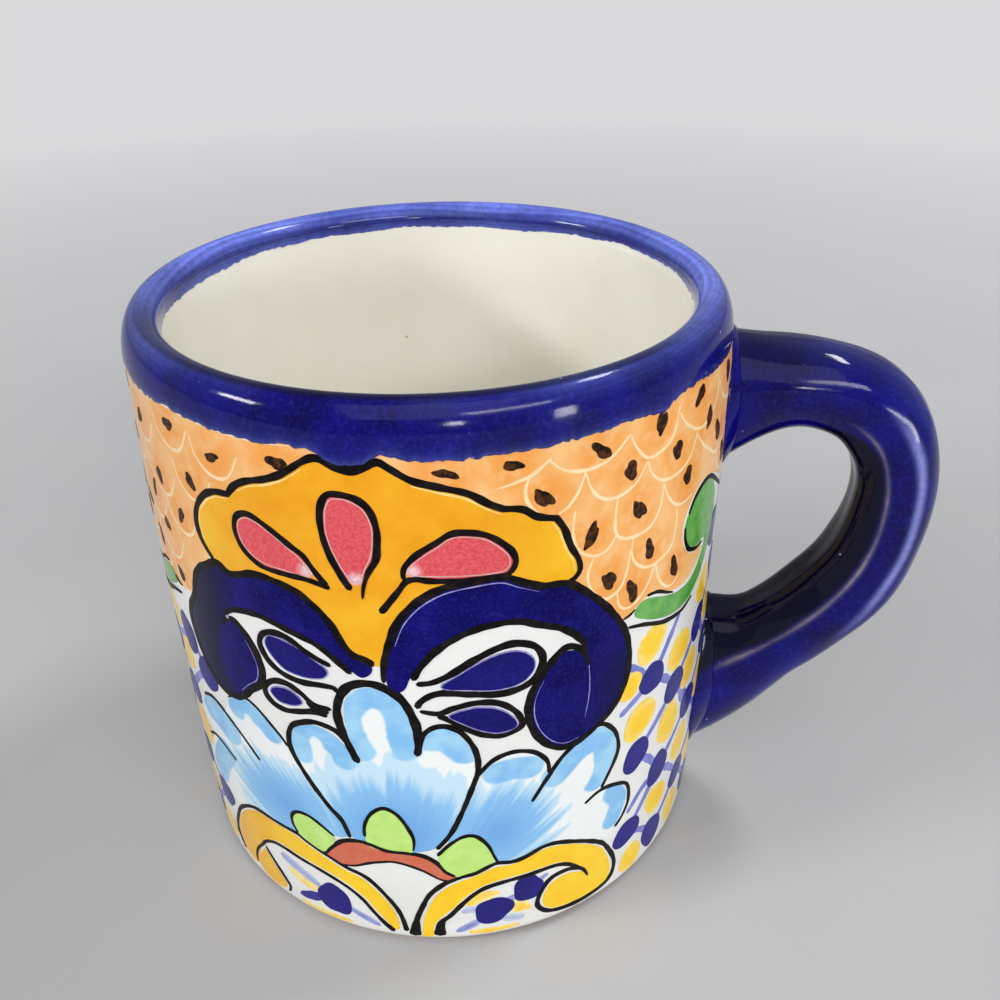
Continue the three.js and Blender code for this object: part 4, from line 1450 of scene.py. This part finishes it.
# Lattice of dabs below the leaves
LATTICE_BLUE = [
    (42, 44.6), (49, 38.2), (39.7, 30.1), (46.3, 22.2), (39.2, 12.6), (46.6, 6.6), (57, 45.2),
    (55.8, 29.5),
    (54.5, 14), (63.2, 37.2), (62.6, 22), (61.5, 6.4), (65, 52), (70, 45), (70, 29.5), (69.4, 14),
    (-36.6, 49.4), (-31.8, 44.6), (-46.5, 43), (-41, 35.6), (-49.5, 28.6), (-42.6, 20.5), (-35.8, 15.8),
    (-51.5, 13.5), (-44.6, 6.8), (-55.8, 37.2), (-57.8, 21.6), (-60.2, 6.4), (-63.8, 44.6),
    (-64.4, 29.4),
    (-65.6, 14.2), (-55.4, 51), (70.7, 64.6), (-60, 57.6), (61.5, 60.4),
]
LATTICE_YELLOW = [
    (41.2, 51.6, 2.9), (36.9, 46, 2.3), (49.7, 44.9, 3.3), (39.9, 37.5, 3.2), (48.3, 30.8, 3.3),
    (54.6, 37.6, 3), (54, 21.6, 3), (46.8, 14.6, 3), (40.8, 5.2, 2.7), (58, 52, 2.9), (61.6, 30, 3),
    (61.4, 14.4, 3), (53.8, 6.4, 2.9), (63.6, 45, 3), (68.6, 37.4, 3), (69, 22, 3), (68.4, 6.4, 2.9),
    (-43.6, 50, 2.8), (-39.6, 43.6, 2.4), (-39.4, 28.6, 3), (-48, 36, 3), (-49.8, 21, 3),
    (-43.4, 13.4, 2.8), (-38, 6.4, 2.7), (-52.6, 44.4, 3), (-57, 29.4, 3), (-59, 14, 3),
    (-52.4, 6, 2.8), (-62, 37, 3),
    (-65.8, 22, 3), (-63, 52, 2.8), (66.6, 59.4, 2.7), (-70.7, 52, 2.9), (-64.4, 60, 2.6),
]
LATTICE_REACH = 12.8
LOOSE_WASHES = [
    [(36.6, 50), (39, 47.5), (42, 44.6)], [(48.4, 53), (45.4, 49), (42, 44.6), (38.5, 42.6),
     (35.2, 41)],
    [(38.8, 17.4), (42, 20.6), (46.3, 22.2)], [(49, 38.2), (51.5, 35), (52.6, 32.6), (55.8, 29.5)],
    [(-32, 44.4), (-36, 41.4), (-41, 35.6)],
]

# Dabs in the small fields at the foot: x, z, half width, half height, lean
FOOT_BLUE = [(14.7, 7.6, 3, 3.2, 0), (20.3, 11.3, 2.7, 2.9, 0), (-11.2, 7.3, 2.8, 3.9, 0)]
FOOT_TAIL = [(-18.4, 4.3), (-16, 5.3), (-13, 6.9)]
# Blue smears in the same fields: line, width and paleness
FOOT_WASH = [
    ([(8.6, 3), (11, 4.4), (13, 6)], 1.8, 0.1),
    ([(16.4, 9), (18.6, 10.4)], 1.8, 0),
    ([(20.3, 11.3), (23.6, 13.4)], 1.4, 0.2),
    ([(9.6, 7.8), (11, 8.4), (12.8, 8.2)], 2.2, 0.7),
    ([(19.8, 4.3), (17.4, 4.8), (15, 5.8)], 2.2, 0.7),
    ([(-9, 6.4), (-6.6, 5), (-3.6, 3.3)], 1.7, 0.1),
    ([(-21.2, 12.6), (-18, 11.3), (-13.6, 9.2)], 2.8, 0.45),
]
# Yellow smears in the same fields: line and width
FOOT_YELLOW = [
    ([(10.4, 9.6), (12.6, 11.2), (15.8, 11.9)], 2.6),
    ([(16.8, 8.3), (19, 7.2), (20.8, 6)], 3.6),
    ([(10.6, 2.7), (14.6, 2.5), (19, 2.7)], 1.7),
    ([(-20, 10), (-17.4, 9), (-13.6, 8)], 3.2),
    ([(-18.4, 2.6), (-14, 2.4), (-8.4, 2.5)], 1.8),
]
# Dark tail of a drop, the run of the cobalt band into the fan, and the knot of the left scroll
DROP_TAIL = [(-10.6, 50.1), (-9, 49.3), (-7.2, 49.1)]
DRIP = [(-5.4, 88.8), (-4.2, 88.8), (-2.5, 88), (-0.8, 87.8), (0.9, 88.2), (2.6, 88.9), (3.6, 88.4)]
KNOT = (-22.6, 60.35)

# Widths of brush lines
SCALE_WIDTH = 0.62
SCALLOP_WIDTH = 0.6
FRINGE_WIDTH = 0.34
WASH_WIDTH = 1.7
FOOT_TAIL_WIDTH = 2.4
DROP_TAIL_WIDTH = 1.9
DRIP_WIDTH = 1.7
DROP_EDGE_WIDTH = 0.22
PETAL_EDGE_WIDTH = 0.18
STRAW_WIDTH = 0.4
# Distance of the pale lines from the middle of the black ones that they run along
LAVENDER_SHIFT = 0.82
STRAW_SHIFT = 0.72
KNOT_SIZE = 0.3
# Distance from a spoke's root at which the streaks are measured
SPOKE_RADIUS = 22

# Spacing of the points in a filled patch, by how fast its colour changes
GROUND_STEP = 1.1
SCROLL_STEP = 0.9
DAB_STEP = 0.8
FINE_STEP = 0.6
FLOWER_STEP = 0.5

# How far some fills stand in from their chosen points, or out from them
SCROLL_INSET = 0.4
PETAL_SPREAD = 0.6
PETAL_EDGE_SPREAD = 0.22
GREEN_SPREAD = 0.35
# Small differences of lift that keep neighbouring layers apart
SMALL_STEP = 0.006
SEED_SIZES = (1.22, 0.95)


def seed_tone(places):
    """Deeper orange in the belly of each scale."""
    hearts = np.array([(x, z) for x, z, _ in SEEDS])
    return 1 - smooth(reach(places, hearts), 1.5, 6.5)


def fan_tone(places):
    """The fan is more lemon towards its ends and its foot; towards the right end this is partly a
    painted highlight.
    """
    ends = 0.45 * smooth(np.abs(places[:, 0]), 15, 26)
    foot = 0.25 * (1 - smooth(places[:, 1], 66, 72))
    return np.maximum(ends, foot)


def foot_tone(places):
    """The scrolls at the foot are warmer towards the left."""
    return 0.35 + 0.65 * smooth(places[:, 0], -32, -8)


def scroll_shade(places):
    """The cobalt pools almost black in the outer turns of the scrolls, up to the lobe on the left."""
    x, z = places[:, 0], places[:, 1]
    lobe = spline(SCROLL_LEFT_LOBE, True)
    beyond = np.where(inside(places, lobe), -1, 1) * reach(places, lobe)
    left = smooth(-x, 19, 26) * (0.15 + 0.75 * smooth(beyond, -0.6, 0.3))
    right = 0.5 * smooth(x, 27, 34) * (1 - smooth(z, 48, 60))
    return np.maximum(left, right)


def tip_field(places):
    """The red thins to white at the tips of the three petals."""
    return 1 - smooth(reach(places, np.array(PETAL_TIPS)), 0.3, 1.6)


def rim_field(x, z, half):
    """A dab of paint is paler towards its edge."""
    def field(places):
        return 0.6 * smooth(np.hypot(places[:, 0] - x, places[:, 1] - z), 0.55 * half, half)
    return field


def cap_field(places):
    """How far inside a sky-blue brush mark a place lies, in millimetres."""
    depth = [half - reach(places, spline(line)) for line, half in CAP_MARKS]
    clear = []
    for shape in TONGUES:
        outline = spline(shape, True)
        clear.append(np.where(inside(places, outline), -1, 1) * reach(places, outline))
    return np.minimum(np.max(depth, 0), np.min(clear, 0))


def base_field(places, feathers=False):
    """How far inside the deeper blue at a group's root a place lies, in millimetres."""
    depth = []
    for (x, z), (across, up), beyond in BASE_MARKS:
        far = np.hypot((places[:, 0] - x) / across, (places[:, 1] - z) / up)
        depth.append((1 - far) * min(across, up) + (beyond if feathers else 0))
    return np.max(depth, 0)


def feather_field(places):
    """How far inside the pale feathers round the deeper blue a place lies."""
    return base_field(places, True)


def spoke_field(root):
    """Place across the streaks that spread from a root, in about millimetres."""
    def field(places):
        return SPOKE_RADIUS * np.arctan2(places[:, 0] - root[0], places[:, 1] - root[1])
    return field


def mirror(points):
    """Points on the other side of the middle of a face."""
    return [(-x, z) for x, z in points]


def joined(shape, *more):
    """Several runs of chosen points, one after another."""
    points = list(shape)
    for run in more:
        points += run
    return points


def scroll_right():
    """Chosen points all round the right cobalt scroll."""
    turn_back = [SCROLL_RIGHT_OUTER[-1], SCROLL_RIGHT_NOTCH[0], SCROLL_RIGHT_INNER[0]]
    return joined(SCROLL_RIGHT_OUTER, turn_back, SCROLL_RIGHT_INNER, SCROLL_RIGHT_TAIL)


def scroll_left():
    """Chosen points all round the left cobalt scroll."""
    turn_back = [SCROLL_LEFT_OUTER[-1], SCROLL_LEFT_INNER[0]]
    return joined(SCROLL_LEFT_OUTER, turn_back, SCROLL_LEFT_INNER, SCROLL_LEFT_TAIL)


def beside(points, distance):
    """The smooth line through points, moved to its left."""
    line = spline(points)
    return line + distance * side_of(line, False)


def paint_ground():
    """Fish-scale ground above the scrolls: orange, pale scale lines and dark dashes."""
    flats = [patch(GROUND_RIGHT, GROUND_LIFT, GROUND_STEP, tone=seed_tone)]
    flats.append(patch(mirror(GROUND_RIGHT), GROUND_LIFT_LEFT, GROUND_STEP, tone=seed_tone))
    make_piece("orange_ground", lay(flats), orange_finish())
    lines = [stroke(line, SCALE_WIDTH, SCALE_LIFT, (0.5, 0.5)) for line in SCALE_LINES]
    for x, z, half in SCALLOPS_LEFT:
        arc_points = [
            (x - half, z + 1.6), (x - 0.82 * half, z - 1.2), (x - 0.2 * half, z - 3),
            (x + 0.5 * half, z - 2.4), (x + half, z + 1),
        ]
        lines.append(stroke(arc_points, SCALLOP_WIDTH, SCALE_LIFT, (0.5, 0.5)))
    fringe = [(x, z - 0.05) for x, z in BAND_EDGE if -60 < x < -6]
    lines.append(stroke(fringe, FRINGE_WIDTH, FRINGE_LIFT, (0.3, 0.2), pale=1.0))
    make_piece("scale_lines", lay(lines), scale_line_finish())
    seeds = []
    for x, z, lean in SEEDS:
        size = SEED_SIZES[0] if x > 20 else SEED_SIZES[1]
        shape = blob(x, z, size * HAND.uniform(1.2, 1.65), size * HAND.uniform(0.62, 0.88), lean, 3.2)
        seeds.append(fill(shape, SEED_LIFT, DAB_STEP))
    make_piece("seed_dashes", lay(seeds), seed_finish())


def paint_fan():
    """All yellow: the fan, the scrolls at the foot, and the dabs of the lattice."""
    flats = [patch(joined(FAN, FAN_FOOT), FAN_LIFT, tone=fan_tone)]
    flats += [patch(outline, FAN_LIFT, FINE_STEP, tone=foot_tone) for outline in FOOT_FILLS]
    for x, z, half in LATTICE_YELLOW:
        shape = blob(x, z, half * 1.04, half * HAND.uniform(1.1, 1.24), HAND.uniform(-30, 30))
        flats.append(fill(shape, DOT_LIFT, DAB_STEP, tone=1.0, pale=rim_field(x, z, half)))
    for line, width in FOOT_YELLOW:
        lift = LATTICE_LIFT - SMALL_STEP
        flats.append(stroke(line, width, lift - SMALL_STEP, (0.8, 0.7), tone=1.0, pale=1.6))
        flats.append(stroke(line, 0.5 * width, lift, (0.7, 0.6), tone=1.0, pale=0.5))
    make_piece("yellow_enamel_fields", lay(flats), yellow_finish())


def paint_red():
    """The three petals in the fan and the strip under the flower."""
    flats = []
    for outline in PETAL_FILLS:
        flats.append(patch(outline, FILL_LIFT, FINE_STEP, -PETAL_SPREAD, tone=0.0, pale=tip_field))
    flats.append(patch(joined(STRIP_TOP, STRIP_BOTTOM[::-1]), FILL_LIFT, tone=1.0))
    make_piece("red_petals", lay(flats), red_finish())


def paint_blue():
    """All cobalt: scrolls, drops and dabs, and the pale washes that join the dabs."""
    flats = []
    for outline in (scroll_right(), scroll_left()):
        flats.append(patch(outline, FILL_LIFT, SCROLL_STEP, SCROLL_INSET, tone=0.0, shade=scroll_shade))
    flats += [patch(outline, FILL_LIFT, tone=0.12) for _, outline, _ in DROPS]
    for x, z in LATTICE_BLUE:
        shape = blob(x, z, HAND.uniform(2.7, 3.0), HAND.uniform(3.0, 3.5), HAND.uniform(-40, 40), 1.0)
        flats.append(fill(shape, BLUE_DOT_LIFT, DAB_STEP, tone=0.5))
    for x, z, across, up, lean in FOOT_BLUE:
        shape = blob(x, z, across, up, lean, 1.5)
        flats.append(fill(shape, BLUE_DOT_LIFT, DAB_STEP, tone=0.35))
    flats.append(stroke(FOOT_TAIL, FOOT_TAIL_WIDTH, DOT_LIFT, (0.6, 0.9), tone=0.9))
    make_piece("cobalt_fills", lay(flats), blue_fill_finish())
    washes = [stroke(line, WASH_WIDTH, LATTICE_LIFT, (0.8, 0.8)) for line in LOOSE_WASHES]
    for line, width, pale in FOOT_WASH:
        washes.append(stroke(line, width, LATTICE_LIFT, (0.8, 0.7), pale=pale + 0.3))
        washes.append(stroke(line, 0.5 * width, LATTICE_LIFT + SMALL_STEP, (0.7, 0.6), pale=pale))
    for i, start in enumerate(LATTICE_BLUE):
        for end in LATTICE_BLUE[i + 1:]:
            if math.dist(start, end) < LATTICE_REACH and start[0] * end[0] > 0:
                bend = (0.5 * (start[0] + end[0]) + 0.4, 0.5 * (start[1] + end[1]) + 0.3)
                washes.append(stroke([start, bend, end], WASH_WIDTH, LATTICE_LIFT, (0.9, 0.9)))
    make_piece("lattice_washes", lay(washes), wash_finish())


def paint_sky():
    """The sky-blue flower in its three groups of petals."""
    flats = []
    fields = {"cap": cap_field, "base": base_field, "feather": feather_field}
    for outline, root in zip(FLOWER_FILLS, SPOKE_ROOTS):
        flats.append(patch(outline, FLOWER_LIFT, FLOWER_STEP, **fields, spoke=spoke_field(root)))
    make_piece("sky_petals", lay(flats), sky_finish())


def paint_green():
    """The lime dabs under the flower and a leaf on each side."""
    flats = [patch(outline, FILL_LIFT, margin=-GREEN_SPREAD, tone=0.0) for _, outline in GREEN_DABS]
    flats += [patch(outline, FILL_LIFT, tone=1.0) for outline in (LEAF, mirror(LEAF))]
    make_piece("green_leaves", lay(flats), green_finish())


def paint_lines():
    """Black outlines drawn over the fills."""
    lines = [(FAN, 1.1, (0.8, 0.7))]
    lines += [(PETAL_LEFT, 1.0, (1, 0.9)), (PETAL_CENTRE, 1.1, (1.2, 0.4))]
    lines.append((PETAL_RIGHT, 1.05, (1, 0.8)))
    lines.append((joined(SCROLL_RIGHT_OUTER, SCROLL_RIGHT_NOTCH), 1.3, (0.6, 0.4)))
    lines.append((joined(SCROLL_RIGHT_NOTCH[:0:-1], SCROLL_RIGHT_INNER), 1.3, (0.4, 0.9)))
    lines.append((joined(SCROLL_LEFT_OUTER, SCROLL_LEFT_NOTCH), 1.3, (1, 0.4)))
    lines.append((joined(SCROLL_LEFT_NOTCH[1:], SCROLL_LEFT_INNER), 1.25, (0.4, 1)))
    lines += [(outline, width, (0.7, 0.9)) for outline, _, width in DROPS]
    lines += [(line, width, (0.9, 0.9)) for line, width in FLOWER_LINES]
    lines += [(line, 0.75, (0.8, 0.6)) for line, _ in GREEN_DABS]
    lines += [(STRIP_TOP, 0.85, (0.8, 0.8)), (STRIP_BOTTOM, 0.6, (0.8, 0.8))]
    lines += FOOT_LINES
    for line, width in LEAF_LINES:
        lines += [(line, width, (0.6, 0.4)), (mirror(line), width, (0.6, 0.4))]
    ink = [stroke(line, width, INK_LIFT, ends) for line, width, ends in lines]
    ink.append(stroke(DROP_TAIL, DROP_TAIL_WIDTH, INK_LIFT, (0.5, 0.6)))
    ink.append(stroke(DRIP, DRIP_WIDTH, DRIP_LIFT, (0.4, 0.4)))
    make_piece("black_outlines", lay(ink), ink_finish())


def paint_edges():
    """Thin pale lines that the fills keep along some of their edges."""
    lavender = [
        (beside(SCROLL_RIGHT_OUTER[2:10], -LAVENDER_SHIFT), 0.22),
        (beside(SCROLL_RIGHT_OUTER[20:27], -LAVENDER_SHIFT), 0.18),
        (beside(SCROLL_LEFT_OUTER[25:31], LAVENDER_SHIFT), 0.2),
        (SCROLL_RIGHT_DIVIDER, 0.22),
    ]
    edges = [stroke(line, width, EDGE_LIFT, (0.4, 0.3), tone=0.0) for line, width in lavender]
    for _, outline, _ in DROPS:
        edges.append(stroke(outline, DROP_EDGE_WIDTH, EDGE_LIFT, closed=True, tone=0.0))
    for outline in PETAL_FILLS:
        line = inset(spline(outline, True), -PETAL_EDGE_SPREAD)[::3]
        edges.append(stroke(line, PETAL_EDGE_WIDTH, EDGE_LIFT, closed=True, tone=0.45))
    straw = [FAN[1:7], FAN[8:13], FAN[20:26], FAN[28:34]]
    for run in straw:
        edges.append(stroke(beside(run, -STRAW_SHIFT), STRAW_WIDTH, STRAW_LIFT, (0.4, 0.4), tone=1.0))
    dot = blob(*KNOT, KNOT_SIZE)
    edges.append(fill(dot, KNOT_LIFT, FINE_STEP, tone=0.0))
    make_piece("pale_edges", lay(edges), pale_edge_finish())


# Build everything

cobalt = cobalt_finish()
build_clay()
build_wall()
build_liner()
build_band()
build_handle()
build_bead("upper_slip_bead", True, 0.9, 1.7, 1.2, "upper_slip_joint")
build_bead("lower_slip_bead", False, 1.3, 2.6, 1.1, "lower_slip_joint")
paint_ground()
paint_fan()
paint_red()
paint_blue()
paint_sky()
paint_green()
paint_lines()
paint_edges()

# Stage, light and camera

FLOOR_HALF = 4.0
SKY_COLOUR = (0.96, 0.98, 1.0, 1.0)
SKY_STRENGTH = 0.36

floor_mesh = bpy.data.meshes.new("studio_floor")
floor_corners = [(FLOOR_HALF * x, FLOOR_HALF * y, 0) for x, y in ((-1, -1), (1, -1), (1, 1), (-1, 1))]
floor_mesh.from_pydata(floor_corners, [], [(0, 1, 2, 3)])
floor_mesh.materials.append(floor_finish())
floor = bpy.data.objects.new("studio_floor", floor_mesh)
bpy.context.scene.collection.objects.link(floor)

world = bpy.data.worlds.new("studio")
world.use_nodes = True
world_nodes = world.node_tree.nodes
sky_light = world_nodes["Background"]
sky_light.inputs["Color"].default_value = SKY_COLOUR
sky_light.inputs["Strength"].default_value = SKY_STRENGTH
backdrop = world_nodes.new("ShaderNodeBackground")
backdrop.inputs["Color"].default_value = BACKDROP
seen = world_nodes.new("ShaderNodeLightPath")
either = world_nodes.new("ShaderNodeMixShader")
world.node_tree.links.new(seen.outputs["Is Camera Ray"], either.inputs["Fac"])
world.node_tree.links.new(sky_light.outputs["Background"], either.inputs[1])
world.node_tree.links.new(backdrop.outputs["Background"], either.inputs[2])
world.node_tree.links.new(either.outputs["Shader"], world_nodes["World Output"].inputs["Surface"])
bpy.context.scene.world = world

# Soft boxes: place, width and height in metres, power in watts
SOFT_BOXES = [
    ("key", (0.76, -0.95, 0.75), (0.7, 0.16), 4.3),
    ("fill", (0.12, -0.9, 1.0), (1.2, 1.2), 4.8),
    ("front", (0.45, -1.35, 0.32), (0.13, 0.13), 1.8),
    ("left", (-1.08, -0.58, 0.6), (0.32, 0.15), 6.0),
    ("right", (1.09, -0.73, 0.15), (0.16, 0.24), 3.0),
    ("top", (0.56, 0.32, 1.07), (0.3, 0.14), 4.2),
]
MUG_MIDDLE = Vector((0.01, 0.0, 0.05))
for name, place, size, power in SOFT_BOXES:
    lamp = bpy.data.lights.new(name, "AREA")
    lamp.shape = "RECTANGLE"
    lamp.size, lamp.size_y = size
    lamp.energy = power
    box = bpy.data.objects.new(name, lamp)
    box.location = place
    box.rotation_euler = (MUG_MIDDLE - Vector(place)).to_track_quat("-Z", "Y").to_euler()
    bpy.context.scene.collection.objects.link(box)

CAMERA_PLACE = Vector((0.031046, -0.140041, 0.145503))
CAMERA_FORWARD = Vector((-0.12559, 0.83800, -0.53102)).normalized()
CAMERA_UP = Vector((-0.06287, 0.52746, 0.84725))
CAMERA_LENS = 36.0
CAMERA_SENSOR = 36.0
CAMERA_NEAR = 0.01
camera_right = CAMERA_FORWARD.cross(CAMERA_UP).normalized()
camera_top = camera_right.cross(CAMERA_FORWARD)
camera_data = bpy.data.cameras.new("photo_camera")
camera_data.lens = CAMERA_LENS
camera_data.sensor_width = CAMERA_SENSOR
camera_data.clip_start = CAMERA_NEAR
camera = bpy.data.objects.new("photo_camera", camera_data)
turn = Matrix((camera_right, camera_top, -CAMERA_FORWARD)).transposed()
camera.matrix_world = Matrix.Translation(CAMERA_PLACE) @ turn.to_4x4()
bpy.context.scene.collection.objects.link(camera)
bpy.context.scene.camera = camera
bpy.context.scene.view_settings.view_transform = "Standard"
